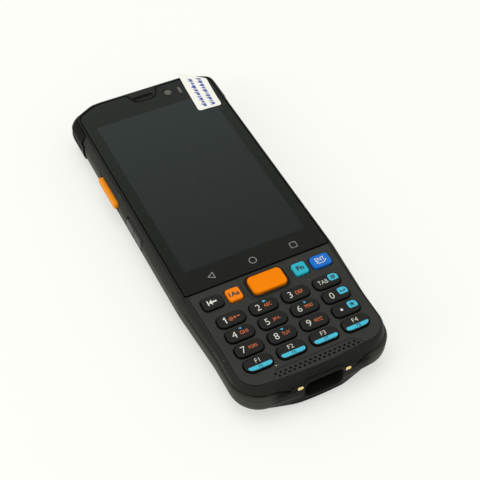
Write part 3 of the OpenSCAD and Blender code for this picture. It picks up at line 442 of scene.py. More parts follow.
# the base drifts to a second colour, areas are masks with a colour laid over it (own colours,
# a painted glint and painted shade), and paintedReflectionFade darkens towards the dock end as
# painted reflection: y where it is darkest, y where it ends, share that is left
def addFinish(name, base, drift=None, rough=(0.4, 0.5), specular=0.35, depth=0.12, grain=4200,
              patch=55, metallic=0.0, coat=0.0, coatRough=0.1, dust=0.0, dots=0.0, areas=(),
              alpha=1.0, paintedReflectionFade=None):
    material = finish[name] = bpy.data.materials.new(name)
    material.use_nodes = True
    tree = material.node_tree
    coordinates = tree.nodes.new("ShaderNodeTexCoord").outputs["Object"]
    texture = place(tree, "grain", coordinates, Grain=grain, Patch=patch)
    colour = mixColour(tree, spread(tree, texture["Tone"], 0, 1), base,
                       drift or tuple(c * 1.25 for c in base))
    for kind, tint, values in areas:
        mask = place(tree, kind, coordinates, **values)["Mask"]
        colour = mixColour(tree, mask, colour, tint)
    if dust:
        specks = place(tree, "dust", coordinates, Share=dust)["Mask"]
        colour = mixColour(tree, specks, colour, dustColour)
    if paintedReflectionFade:
        apart = addNode(tree, "SeparateXYZ", {0: coordinates}).outputs
        share = spread(tree, apart["Y"], paintedReflectionFade[2], 1, paintedReflectionFade[0], paintedReflectionFade[1])
        colour = addNode(tree, "VectorMath", {0: colour, "Scale": share},
                         operation="SCALE").outputs[0]
    values = {"Base Color": colour, "Roughness": spread(tree, texture["Tone"], *rough),
              "Specular IOR Level": specular, "Metallic": metallic, "Coat Weight": coat,
              "Coat Roughness": coatRough, "Alpha": alpha}
    height = texture["Height"]
    if dots:
        bumps = place(tree, "dots", coordinates, Scale=dots)["Height"]
        height = mathNode(tree, "ADD", mathNode(tree, "MULTIPLY", height, 0.35), bumps)
    if depth:
        values["Normal"] = addNode(tree, "Bump", {"Strength": depth, "Distance": grainHeight,
                                                  "Height": height}).outputs["Normal"]
    surface = tree.nodes["Principled BSDF"]
    for key, value in values.items():
        feed(tree, surface.inputs[key], value)


dustColour = (0.35, 0.34, 0.31)
grainHeight = 0.00004  # metres, as are all numbers of the areas
# painted shade: a darker box over the dock end of both shells
dockShade = {"X": 0, "Y": -0.0828, "Half Width": 0.0215, "Half Length": 0.0052, "Soft": 0.0035}
glassAreas = [
    ("box", (0.0205, 0.0275, 0.0272),  # display
     {"X": 0, "Y": 0.0225, "Half Width": 0.02597, "Half Length": 0.04325, "Soft": 0.00012}),
    ("round", (0.0012, 0.0012, 0.001),  # camera, and the glint in it
     {"X": 0.0101, "Y": 0.07385, "Radius": 0.0021, "Soft": 0.0002}),
    ("round", (0.105, 0.102, 0.078),
     {"X": 0.0103, "Y": 0.0734, "Radius": 0.0018, "Soft": 0.0005}),
    ("box", (0.12, 0.115, 0.1),  # light sensor
     {"X": 0.0157, "Y": 0.0727, "Half Width": 0.00065, "Half Length": 0.0019, "Soft": 0.0002})]

# mouldings
# both shells are darkened over the dock end as painted shade
addFinish("frontShell", (0.0125, 0.0127, 0.0104), None, (0.38, 0.48), 0.1, dust=0.01,
          areas=[("box", (0.0055, 0.0055, 0.0048), dockShade)])
addFinish("rearShell", (0.038, 0.0385, 0.0315), None, (0.42, 0.52), 0.06, 0.16,
          areas=[("box", (0.0045, 0.0045, 0.004), dockShade)])
addFinish("keypadPlate", (0.015, 0.0152, 0.0125), (0.02, 0.02, 0.0165), (0.44, 0.55), 0.2, 0.35,
          3600, dust=0.012)
addFinish("blackTrim", (0.004, 0.004, 0.0036), None, (0.3, 0.4), 0.15)
# painted shade for the faces inside the dock recess
addFinish("recessPaintedShade", (0.0085, 0.0085, 0.0075), None, (0.45, 0.55), 0.1)
addFinish("bumper", (0.0022, 0.0023, 0.002), None, (0.42, 0.52), 0.05, 0.2, 3000)
# pale colour painted into the bumper loops as the highlight on their edges
addFinish("loopPaintedHighlight", (0.06, 0.062, 0.052), None, (0.4, 0.5), 0.3, 0.1)
addFinish("innerDark", (0.02, 0.02, 0.021), None, (0.5, 0.65))
addFinish("sealRubber", (0.012, 0.012, 0.012), None, (0.6, 0.75), depth=0.2)
addFinish("matRubber", (0.05, 0.05, 0.048), None, (0.6, 0.75), depth=0.2)
# keys
addFinish("keyDark", (0.0055, 0.0056, 0.0046), (0.0075, 0.0075, 0.0062), (0.34, 0.42), 0.14, 0.08,
          dust=0.012)
addFinish("keyOrange", (0.8, 0.19, 0.002), (0.86, 0.21, 0.003), (0.4, 0.5), 0.1, 0.06)
addFinish("scanOrange", (0.78, 0.192, 0.001), (0.84, 0.212, 0.001), (0.46, 0.56), 0.03, 0.3,
          dots=14000)
addFinish("keyCyan", (0.015, 0.36, 0.46), (0.02, 0.4, 0.5), (0.4, 0.5), 0.12, 0.06)
addFinish("keyBlue", (0.006, 0.13, 0.52), (0.01, 0.15, 0.57), (0.4, 0.5), 0.12, 0.06)
addFinish("sideKeyGrey", (0.021, 0.021, 0.0185), None, (0.38, 0.46), 0.25, 0.1)
addFinish("sideOrange", (0.8, 0.26, 0.008), (0.86, 0.28, 0.01), (0.42, 0.5), 0.08, 0.06)
# prints and films
addFinish("whitePrint", (0.62, 0.61, 0.54), (0.68, 0.67, 0.6), (0.5, 0.6), depth=0.03)
addFinish("orangePrint", (0.72, 0.15, 0.045), (0.8, 0.18, 0.05), (0.5, 0.6), depth=0.03)
addFinish("cyanPrint", (0.03, 0.4, 0.56), (0.04, 0.45, 0.6), (0.45, 0.55), depth=0.03)
addFinish("darkPrint", (0.01, 0.015, 0.018), None, (0.45, 0.55), depth=0.03)
addFinish("iconPrint", (0.34, 0.36, 0.34), (0.42, 0.43, 0.41), (0.3, 0.4), depth=0.02)
addFinish("bluePrint", (0.018, 0.045, 0.28), (0.022, 0.06, 0.33), (0.5, 0.6), depth=0.02)
addFinish("tabFilm", (0.78, 0.77, 0.7), (0.84, 0.83, 0.77), (0.35, 0.45), 0.3, 0.05, patch=120)
addFinish("clearFilm", (0.02, 0.021, 0.02), None, (0.06, 0.1), 0.05, 0, alpha=0.012)
# glass and lenses
# painted reflection: the glass is lighter towards the head end and darker towards the dock end
addFinish("glassFace", (0.0102, 0.0125, 0.0104), (0.0116, 0.014, 0.0118), (0.1, 0.16), 0.13, 0,
          patch=30, paintedReflectionFade=(-0.045, 0.06, 0.36), areas=glassAreas)
addFinish("lensBlack", (0.004, 0.004, 0.005), None, (0.05, 0.08), 0.5, 0, coat=0.6, coatRough=0.03)
addFinish("redWindow", (0.035, 0.0015, 0.0015), (0.045, 0.002, 0.002), (0.06, 0.1), 0.25, 0)
addFinish("flashLens", (0.8, 0.77, 0.5), None, (0.12, 0.2), 0.5, 0.1, 1800)
# metals and inner parts
addFinish("gold", (0.78, 0.55, 0.2), (0.85, 0.65, 0.3), (0.2, 0.32), depth=0.05, metallic=1.0)
addFinish("steel", (0.42, 0.42, 0.42), (0.5, 0.5, 0.5), (0.25, 0.4), depth=0.05, metallic=1.0)
addFinish("darkSteel", (0.06, 0.06, 0.062), None, (0.28, 0.4), depth=0.05, metallic=1.0)
addFinish("alloy", (0.55, 0.56, 0.58), None, (0.32, 0.45), depth=0.08, metallic=1.0)
addFinish("circuit", (0.012, 0.09, 0.045), (0.02, 0.12, 0.06), (0.35, 0.5), patch=260)
addFinish("cellWrap", (0.018, 0.018, 0.02), None, (0.3, 0.42), 0.45, 0.04)
print("finishes:", len(finish))

keySizes = {"flangeLow": 13.7, "flangeTop": 14.5, "flangeReach": 0.5, "plateGap": 0.28,
            "edge": 0.5, "top": 17.9, "scanTop": 18.2, "ring": 1.1, "ringProud": 0.25,
            "roundCorner": 3.2, "pitchX": 13.35, "pitchY": 7.05, "rowY": -47.6, "upperY": -38.0,
            "scanY": -37.8}
# name: x, y, width, length, radius, finish, side of the rounder corner
keys = {
    "backspace": (-22.9, keySizes["upperY"], 8, 5.7, 1.6, "keyDark", 0),
    "alpha": (-13.95, keySizes["upperY"], 5.7, 5.7, 1.1, "keyOrange", 0),
    "scan": (0, keySizes["scanY"], 14.2, 8.2, 1.9, "scanOrange", 0),
    "fn": (13.95, keySizes["upperY"], 5.7, 5.7, 1.1, "keyCyan", 0),
    "enter": (22.9, keySizes["upperY"], 8, 5.7, 1.6, "keyBlue", 0),
}
for row, names in enumerate(("1 2 3 tab", "4 5 6 0", "7 8 9 point", "f1 f2 f3 f4")):
    for column, name in enumerate(names.split()):
        keys[name] = ((column - 1.5) * keySizes["pitchX"],
                      keySizes["rowY"] - row * keySizes["pitchY"],
                      10.75, 5.5, 2.2, "keyDark", {"f1": -1, "f4": 1}.get(name, 0))


def keyPlan(name, g=0.0):
    x, y, width, length, radius, _, side = keys[name]
    w, h, r = width / 2 + g, length / 2 + g, max(radius + g, 0.3)
    right, left = (keySizes["roundCorner"] + g if side == turn else r for turn in (1, -1))
    return [p + Vector((x, y)) for p in roundedOutline(
        [(w, -h, right, 10), (w, h, r, 10), (-w, h, r, 10), (-w, -h, left, 10)])]


def keyTop(name):
    return keySizes["scanTop"] if name == "scan" else keySizes["top"]


# how far a key's skin lies below its top at a distance in from its side
def crownDrop(inward):
    edge = keySizes["edge"]
    return 0 if inward >= edge else edge - math.sqrt(max(0, edge ** 2 - (edge - inward) ** 2))


def makeKey(name):
    high, edge, node = keyTop(name), keySizes["edge"], "key_" + name
    flange, reach = keySizes["flangeTop"], keySizes["flangeReach"]
    levels = [(keySizes["flangeLow"], reach), (flange, reach), (flange + 0.01, 0)]
    for step in range(8):
        inward = edge * (1 - math.cos(math.radians(90 * step / 7)))
        levels.append((high - crownDrop(inward), -inward))
    levels.append((high - 0.03, -edge - 0.35))
    finishName = keys[name][5]
    addPiece("key-" + name, formed(lambda g: keyPlan(name, g), levels), [finishName],
             [node], node, sharp=50)


for name in keys:
    makeKey(name)
print("keys:", len(keys))


# fits words into a cap height and a width about (x, y), or keeps the letters' own shape
def wordsAt(words, x, y, height, width=None, bold=-0.1):
    curve = bpy.data.curves.new("words", "FONT")
    curve.body, curve.size, curve.offset, curve.resolution_u = words, 10, bold, 4
    mesh = takenOff(onBench(curve))
    xs, ys = [v.co.x for v in mesh.vertices], [v.co.y for v in mesh.vertices]
    scaleY = height / (max(ys) - min(ys))
    scaleX = width / (max(xs) - min(xs)) if width else scaleY
    for v in mesh.vertices:
        v.co = ((v.co.x - (max(xs) + min(xs)) / 2) * scaleX + x,
                (v.co.y - (max(ys) + min(ys)) / 2) * scaleY + y, 0)
    return mesh


def flatShape(points):
    bm = bmesh.new()
    bm.faces.new([bm.verts.new((p[0], p[1], 0)) for p in points])
    bmesh.ops.triangulate(bm, faces=bm.faces)
    return fromBmesh(bm)


# a flat band of a given width along a path
def band(path, width, closed=False):
    n = len(path)
    path = [Vector(p) for p in path]
    left, right = [], []
    for i, p in enumerate(path):
        before = path[i - 1] if (i or closed) else p
        after = path[(i + 1) % n] if (i < n - 1 or closed) else p
        a, b = (p - before), (after - p)
        a = a.normalized() if a.length else b.normalized()
        b = b.normalized() if b.length else a
        along = (a + b).normalized()
        sideways = Vector((-along.y, along.x)) * width / 2 / max(0.4, along.dot(a))
        left.append(p + sideways)
        right.append(p - sideways)
    faces = [(i, (i + 1) % n, n + (i + 1) % n, n + i) for i in range(n if closed else n - 1)]
    return newMesh([(p.x, p.y, 0) for p in left + right], faces)


def distanceIn(outline, p):
    best = math.inf
    for i, b in enumerate(outline):
        a = outline[i - 1]
        ab = b - a
        if ab.length_squared:
            t = max(0, min(1, (p - a).dot(ab) / ab.length_squared))
            best = min(best, (p - a - t * ab).length)
    return best


legend = {"digitX": -2.25, "digitHeight": 2.75, "lettersX": 1.55, "lettersHeight": 1.5,
          "lettersWidth": 3.1, "wideLetters": 3.4, "markX": 0.9, "markY": 1.85, "patchX": 2.9,
          "patchY": 0.62, "lift": 0.012, "layer": 0.008}
arrows = {"up": [(-0.85, -0.35), (0.85, -0.35), (0.3, 0.3), (-0.3, 0.3)],
          "down": [(-0.75, 0.35), (0.75, 0.35), (0, -0.45)],
          "left": [(0.4, -0.5), (0.4, 0.5), (-0.5, 0)],
          "right": [(-0.4, 0.5), (-0.4, -0.5), (0.5, 0)]}


# prints of (finish, mesh) drawn about a key's middle, laid on its crown one above the other
def addLegend(name, *prints):
    x, y = keys[name][:2]
    outline = keyPlan(name)
    used = list(dict.fromkeys(finishName for finishName, _ in prints))
    parts = []
    for finishName, mesh in prints:
        layer = used.index(finishName)
        bm = bmesh.new()
        bm.from_mesh(mesh)
        if len(bm.verts) < 60:
            bmesh.ops.subdivide_edges(bm, edges=bm.edges, cuts=3, use_grid_fill=True)
        lift = legend["lift"] + legend["layer"] * layer
        for v in bm.verts:
            spot = Vector((v.co.x + x, v.co.y + y))
            v.co = (spot.x, spot.y, keyTop(name) - crownDrop(distanceIn(outline, spot)) + lift)
        for f in bm.faces:
            f.material_index = layer
            if f.normal.z < 0:
                f.normal_flip()
        parts.append(fromBmesh(bm))
    addPiece("legend-" + name, joined(parts), used, rides="key_" + name, sharp=60, weighted=False)


def digitKey(digit, letters, arrow=None):
    width = legend["wideLetters" if len(letters) > 3 else "lettersWidth"]
    prints = [("whitePrint", wordsAt(digit, legend["digitX"], 0, legend["digitHeight"])),
              ("orangePrint", wordsAt(letters, legend["lettersX"], -0.1, legend["lettersHeight"],
                                      width))]
    if arrow:
        prints.append(("cyanPrint", flatShape([(x + legend["markX"], y + legend["markY"])
                                               for x, y in arrows[arrow]])))
    addLegend(digit, *prints)


# main print, and a dark sign on a cyan patch
def patchedKey(name, main, sign):
    x, y = legend["patchX"], legend["patchY"]
    patch = [(x + 1.95, y - 1.5, 0.7, 4), (x + 1.95, y + 1.5, 1.6, 8), (x - 1.8, y + 1.5, 0.7, 4),
             (x - 1.8, y - 1.5, 0.7, 4)]
    addLegend(name, ("whitePrint", main), ("cyanPrint", flatShape(roundedOutline(patch))),
              ("darkPrint", sign))


# cyan strip along the lower edge of a function key, following its rounder corner
def functionKey(number):
    name, columns, rows = "f%d" % number, 26, 5
    low, high, half, tipRadius = -2.6, -0.75, 4.75, 0.5
    lower = sorted((p - Vector(keys[name][:2]) for p in keyPlan(name, -0.28)), key=lambda p: p.x)
    lower = [p for p in lower if p.y < high and abs(p.x) < half + 0.6]
    points = []
    for i in range(columns + 1):
        x = -half + 2 * half * i / columns
        tip = tipRadius - min(x + half, half - x, tipRadius)
        roof = high - (tipRadius - math.sqrt(max(0, tipRadius ** 2 - tip ** 2))) * 0.9
        floor = min(max(heightAt(lower, x, low), low), roof - 0.05)
        points += [(x, floor + (roof - floor) * k / rows, 0) for k in range(rows + 1)]
    addLegend(name, ("whitePrint", wordsAt("F%d" % number, 0.1, 1.05, 1.75)),
              ("cyanPrint", sheetMesh(points, rows + 1)),
              ("darkPrint", wordsAt("F%d" % (number + 4), 0.2, -1.55, 1.25, bold=0.1)))


def makeLegends():
    digitX, x, y = legend["digitX"], legend["patchX"], legend["patchY"]
    one = band([(digitX - 0.7, 0.6), (digitX, 1.2), (digitX, -1.37)], 0.42)
    signs = [wordsAt("@", -0.1, -0.15, 1.7), wordsAt("+", 1.5, 0, 1.2, 1.2, bold=0.1),
             band([(2.4, 0.1), (3.5, 0.1)], 0.3)]
    addLegend("1", ("whitePrint", one), ("orangePrint", joined(signs)))
    for digit, letters, arrow in (("2", "ABC", "up"), ("3", "DEF", None), ("4", "GHI", "left"),
                                  ("5", "JKL", None), ("6", "MNO", "right"), ("7", "PQRS", None),
                                  ("8", "TUV", "down"), ("9", "WXYZ", None)):
        digitKey(digit, letters, arrow)
    patchedKey("tab", wordsAt("TAB", -1.7, -0.1, 1.8, 4.0), wordsAt("#", x, y, 2.1, 1.9, bold=0.3))
    patchedKey("0", wordsAt("0", -1.9, 0, legend["digitHeight"]),
               band([(x - 0.9, y + 0.35), (x - 0.9, y - 0.35), (x + 0.9, y - 0.35),
                     (x + 0.9, y + 0.35)], 0.42))
    star = [band([(x, y), (x + math.sin(math.tau * i / 5), y + math.cos(math.tau * i / 5))], 0.42)
            for i in range(5)]
    patchedKey("point", flatShape(circle(-1.9, -0.1, 0.52, 20)), joined(star))
    for number in (1, 2, 3, 4):
        functionKey(number)
    arrow = flatShape([(-1.35, 0), (-0.1, 1.25), (-0.1, 0.35), (1.75, 0.35), (1.75, -0.35),
                       (-0.1, -0.35), (-0.1, -1.25)])
    bar = flatShape([(-1.95, 1.15), (-1.95, -1.15), (-1.5, -1.15), (-1.5, 1.15)])
    addLegend("backspace", ("whitePrint", joined([arrow, bar])))
    addLegend("alpha", ("darkPrint", wordsAt("1Aa", 0, 0, 2.0, 4.2, bold=0.3)))
    addLegend("fn", ("darkPrint", wordsAt("Fn", 0, 0.1, 2.1, 2.9, bold=0.4)))
    swoosh = band([(-1.75, -1.05), (-1.3, -1.2), (-0.2, -1.3), (0.9, -1.15), (1.75, -0.7),
                   (2.15, -0.05)], 0.3)
    tip = flatShape([(-2.3, -0.95), (-1.45, -0.55), (-1.35, -1.55)])
    addLegend("enter", ("whitePrint", joined([wordsAt("ENT", -0.1, 0.5, 1.8, 4.0, bold=0.1),
                                              swoosh, tip])))


makeLegends()
print("legends done")

# how far the sides lean in at a height: 0 below the joint, 1 at the face
def lean(z):
    low = body["leanFrom"]
    return 0 if z <= low else ((z - low) / (face - low)) ** 1.6


rim = {"creaseFrom": 14.9, "crease": 16.42, "narrow": 0.62,
       "low": ((0, 0.22), (0.07, 0.09), (0.22, 0.01)),  # above the joint, and inset
       "side": (12.7, 13.1, 13.5, 13.9, 14.3, 14.7, 15.1, 15.45, 15.75, 16.0, 16.2),
       "shoulder": ((16.32, 0.03), (16.39, 0.1)),
       "top": ((16.42, -0.02), (16.8, -0.02), (16.92, 0.02), (16.98, 0.09), (17.0, 0.18))}


def frontOutline(z, inset=0.0):
    less = rim["narrow"] * smooth(rim["creaseFrom"], rim["crease"], z)
    return bodyPlan(-body["faceLean"] * lean(z) - inset, body["dockStep"],
                    body["gripLeanLess"] * lean(z) - body["gripStep"] - less,
                    body["faceLip"] * lean(z))


def frontSkin():
    levels = [(seam + rise, frontOutline(seam, inset)) for rise, inset in rim["low"]]
    levels += [(z, frontOutline(z)) for z in rim["side"]]
    levels += [(z, frontOutline(z, inset)) for z, inset in rim["shoulder"]]
    return loft(levels + [(z, frontOutline(face, inset)) for z, inset in rim["top"]])


screws = {"at": ((22.3, bottom + 8, 3.4), (28.3, -12.0, 3.0), (26.0, 70.0, 3.0)),  # x, y, seat
          "head": 1.75, "hole": 1.03, "shaft": 0.97, "mouth": 2.0, "boss": 2.3, "post": 1.9,
          "holeTop": 13.25, "shaftTop": 13.05, "star": (0.82, 0.62)}
# foot is its flank's x from the middle and y from the dock end; brow is the brow's heights
dock = {"width": 15.4, "low": 5.5, "high": 14.0, "depth": 5.0, "round": 2.4, "mouth": 0.45,
        "wall": 1.4, "back": 1.0, "blockHalf": 13.4,
        "foot": ((0, 0), (5, 0), (7, 0.5), (9, 1.0), (11.5, 1.6), (14, 2.3), (17, 3.1), (20, 4.0),
                 (22, 5.0), (23.5, 6.4), (24, 9)),
        "brow": (12.22, 12.3, 12.6, 13.0, 13.4, 13.8, 14.2, 14.6, 15.0, 15.4, 15.8, 16.1),
        "lip": 0.62, "lipEnd": 0.3, "lipRadius": 2.6, "lipTop": 14.5, "lipOut": 0.32}
usb = {"width": 9.0, "height": 3.2, "back": bottom + 12.6, "z": 9.75, "gap": 0.1}
contacts = {"x": 9.7, "z": seam - 0.05, "width": 2.6, "height": 1.6, "round": 0.78, "gap": 0.08}
microphone = {"x": -12.6, "y": bottom + 7, "z": seam + 1.1, "radius": 0.45}
bumpers = {"proud": 0.6, "from": top - 20.6, "frontFrom": top - 18.7, "inside": 0.9, "gap": 0.1,
           "low": 5.0, "high": 16.4, "edge": 0.22, "loop": (11.5, 3.6, 1.75),
           "slot": (8.6, 0.9, 0.42), "loopY": 69.0, "loopZ": 9.3, "loopLine": 0.45,
           "front": (12.2, 12.6, 13.0, 13.4, 13.8, 14.2, 14.6, 15.0, 15.4, 15.8, 16.1)}
# along, up, length, height, stands out, height of its opening, side
sideKeys = {"scan": (35.2, 10.3, 17.5, 3.2, 1.3, 4.0, -1),
            "rocker": (9.8, 11.0, 14.2, 5.4, 0.25, 5.4, -1),
            "power": (9.8, 10.3, 11.0, 4.2, 0.3, 4.2, 1)}
openingGap = {"along": 0.3, "upright": 0.5, "flare": 0.35}


def dockTool():
    def shape(g):
        return softBox(dock["width"], dock["high"] - dock["low"], dock["round"], g=g)
    tool = flaredTool(shape, 0, dock["depth"] - dock["mouth"], dock["mouth"], 2)
    return placed(tool, 0, bottom + dock["depth"], (dock["low"] + dock["high"]) / 2, againstEnd)


# paints shade inside the recess: the faces there get a second, darker finish slot
def paintRecessShade(mesh):
    for polygon in mesh.polygons:
        x, y, z = polygon.center
        inside = abs(x) < dock["width"] / 2 + 0.05 and dock["low"] - 0.05 < z < dock["high"] + 0.05
        deep = bottom + 0.9 < y < bottom + dock["depth"] + 0.1
        polygon.material_index = int(inside and deep)
    return mesh


def endTools():
    gap = usb["gap"]
    plug = softBox(usb["width"] + 2 * gap, usb["height"] + 2 * gap, usb["height"] / 2)
    pad = softBox(contacts["width"], contacts["height"], contacts["round"], g=contacts["gap"])
    return [dockTool(), placed(prism(plug, 0, 20), 0, usb["back"] + gap, usb["z"], againstEnd)] \
        + bothSides(placed(prism(pad, 0, 8), contacts["x"], bottom + 7, contacts["z"], againstEnd))


# openings for the side keys, their mouths softened
def sideTools():
    tools = []
    for y, z, length, _, _, height, side in sideKeys.values():
        def shape(g):
            return softBox(length + 2 * openingGap["along"], height + 2 * openingGap["upright"],
                           0.5, 4, g=g)
        tool = flaredTool(shape, halfHead - body["wall"] - 2.2, halfHead - 0.05,
                          openingGap["flare"], 4)
        tool = placed(tool, 0, y, z, againstWall)
        tools.append(tool if side > 0 else turned(tool, leftRight))
    return tools


# room for the head bumpers: everything outside a core at the head corners
def bumperRoom(core, y0, low, high):
    corner = block(halfHead - body["cornerRun"] - 1, halfHead + 12, y0 - bumpers["gap"], top + 12,
                   low, high)
    return [carve(piece, [core]) for piece in bothSides(corner)]


# inner and outer faces of a bumper on the front housing, which lean with the side
def bumperInner(z, g=0.0):
    inset = body["faceLean"] * lean(z) + max(0.45, bumpers["inside"] - lean(z))
    return bodyPlan(g - inset, 0, 0, body["faceLip"] * lean(z))


def bumperOuter(z):
    out = bumpers["proud"] * (1 - 0.8 * lean(z)) - body["faceLean"] * lean(z)
    return bodyPlan(out, 0, 0, body["faceLip"] * lean(z))


def frontBumperTools():
    low, high = seam - 1, bumpers["high"] + 0.03
    heights = [(low - 1, low)] + [(z, z) for z in bumpers["front"] + (high,)] + [(high + 1, high)]
    core = loft([(z, bumperInner(at)) for z, at in heights])
    return bumperRoom(core, bumpers["frontFrom"], low, high)


# groove above the joint: a band from one side, round the dock end, to the other
def seamGroove():
    ends, half = body["grooveTo"], dock["blockHalf"]

    def course(g):
        side = halfGrip + g - body["gripStep"]
        points = [p for p in bodyPlan(g, body["dockStep"], -body["gripStep"]) if p.y < ends]
        points.sort(key=lambda p: math.atan2(p.x, 30 + ends - p.y))
        return [Vector((-side, ends))] + points + [Vector((side, ends))]
    groove = prism(course(-body["grooveDepth"]) + course(6.0)[::-1], seam - 1,
                   seam + body["grooveHeight"])
    return carve(groove, [prism(softBox(2 * half, 14, 0.8, 5, 0, bottom), 0, 30)])


# swelling at the dock end from rings of (z, inset); front(x, y of the body's edge, inset) is its y
def endSwelling(half, steps, levels, back, front):
    spots = [half * i / steps for i in range(-steps, steps + 1)]
    rings = []
    for z, inset in levels:
        edge = sorted((p for p in bodyPlan(-inset) if p.y < bottom + 12), key=lambda p: p.x)
        rings.append([(x, front(x, heightAt(edge, x), inset), z) for x in spots]
                     + [(x, bottom + back, z) for x in reversed(spots)])
    return skin(rings)


# swelling round the upper half of the recess and the contacts, which runs out on both sides
def dockBrow():
    levels = [(z, body["faceLean"] * lean(z) + 1.25 * smooth(13.2, 16, z)
               + 0.1 * (1 - smooth(seam, 12.4, z))) for z in dock["brow"]]
    return endSwelling(21, 28, levels, 4.5, lambda x, y, _: y + 1.5 * smooth(12.5, 20, abs(x)))


# a round bead bent over the top of the recess
def dockLip():
    w, r = dock["width"] / 2 + 0.45, dock["lipRadius"]
    bend = [math.radians(a) for a in range(10, 91, 16)]
    path = [(-w, 12.7)] + [(-w + r * (1 - math.cos(a)), dock["lipTop"] - r + r * math.sin(a))
                           for a in bend]
    path += [(-x, z) for x, z in reversed(path)]
    rings = []
    for i, (x, z) in enumerate(path):
        before, after = path[max(0, i - 1)], path[min(len(path) - 1, i + 1)]
        along = Vector((after[0] - before[0], 0, after[1] - before[1])).normalized()
        upward = Vector((-along.z, 0, along.x))
        y = bottom + 0.077 * abs(x) + dock["lipOut"] + 0.6 * smooth(12.5, 14.8, z)
        size = dock["lip"] if 0 < i < len(path) - 1 else dock["lipEnd"]
        rings.append([Vector((x, y, z)) + size * (math.cos(t) * upward
                                                  + math.sin(t) * Vector((0, -1, 0)))
                      for t in (math.tau * k / 16 for k in range(16))])
    return skin(rings)


def atScrews(make, which=(0, 1, 2)):
    return [make(side * x, y, seat) for x, y, seat in (screws["at"][i] for i in which)
            for side in (1, -1)]


def dockBlock(y0, z0, z1):
    return slab(dock["width"] / 2 + dock["wall"], y0, bottom + dock["depth"] + dock["back"], z0,
                z1)


# openings in the face: the display's half width and end, the speaker's half width and two ends,
# the camera's circle, and soft boxes of width, length, radius, steps, x and y
faceHoles = {"display": (28.42, 69.6), "camera": (10.2, 73.7, 3.1),
             "sensor": (2.2, 5, 0.3, 3, 15.7, 72.7), "speaker": (17, -77.2, -74.2),
             "earpiece": (9.2, 1.9, 0.9, 6, -0.5, 75.6)}


def makeFrontHousing():
    low, high, deck = seam - 1, face - glass["thick"], body["deckTop"]
    half, end = faceHoles["display"]
    through, ceiling = body["deckLow"] - 1, body["deckLow"] + 0.1
    posts = atScrews(lambda x, y, _: prism(circle(x, y, screws["post"], 24), seam + 0.1,
                                           ceiling), [0])
    cavity = carve(prism(bodyPlan(-body["wall"], body["dockStep"], -body["gripStep"]), low,
                         body["deckLow"]), posts + [dockBlock(bottom - 1, seam, ceiling)])
    tools = [cavity, seamGroove(),
             flaredTool(lambda g: glassPlan(glass["gap"] + g), high, face, 0.12),
             slab(half, glass["low"] + 4, end, through, high + 1),
             flaredTool(lambda g: platePlan(0.05 + g), deck, face, 0.1),
             slab(halfGrip, keypad["high"] - 0.2, keypad["high"] + 1, face - 0.35, face + 1),
             slab(*faceHoles["speaker"], through, deck + 1),
             prism(circle(*faceHoles["camera"]), through, 30),
             prism(softBox(*faceHoles["sensor"]), through, 30),
             flaredTool(lambda g: softBox(*faceHoles["earpiece"], g=g), through, face, 0.3),
             placed(prism(circle(0, 0, microphone["radius"], 20), 0, 20), microphone["x"],
                    microphone["y"], microphone["z"], againstEnd)]
    gap = keySizes["plateGap"] + 0.05
    tools += [prism(keyPlan(name, gap), through, deck + 1) for name in keys]
    tools += endTools() + sideTools() + frontBumperTools()
    tools += atScrews(lambda x, y, _: prism(circle(x, y, screws["hole"], 20), low,
                                            screws["holeTop"]), [0])
    mesh = carve(carve(frontSkin(), [dockBrow(), dockLip()], "UNION"), tools)
    addPiece("front-housing", paintRecessShade(mesh), ["frontShell", "recessPaintedShade"],
             ["front_housing"])


makeFrontHousing()
print("front housing done")


grille = {"count": 17, "pitch": 2.0, "y": bottom + 7.5, "step": 1.25, "hole": 0.9, "line": 0.26,
          "foot": keypad["low"] + 1.3}
lightPipe = {"x": -14.6, "y": -72.1, "radius": 0.28}
# right half of the fine groove that runs round the scan key from the glass edge
scanGroove = [(9.75, keypad["high"] + 1), (9.7, -38.5), (9.45, -40.6), (8.7, -42.3), (7.4, -43.4),
              (5.8, -43.75)]


def prismBand(path, width, low, high, closed=False):
    flat = band(path, width, closed)
    bm = bmesh.new()
    bm.from_mesh(flat)
    bmesh.ops.translate(bm, verts=bm.verts, vec=(0, 0, low))
    made = bmesh.ops.extrude_face_region(bm, geom=bm.faces[:])["geom"]
    bmesh.ops.translate(bm, verts=[v for v in made if isinstance(v, bmesh.types.BMVert)],
                        vec=(0, 0, high - low))
    bmesh.ops.recalc_face_normals(bm, faces=bm.faces)
    return fromBmesh(bm)


def bothHalves(path):
    return [(-x, y) for x, y in path] + path[::-1]


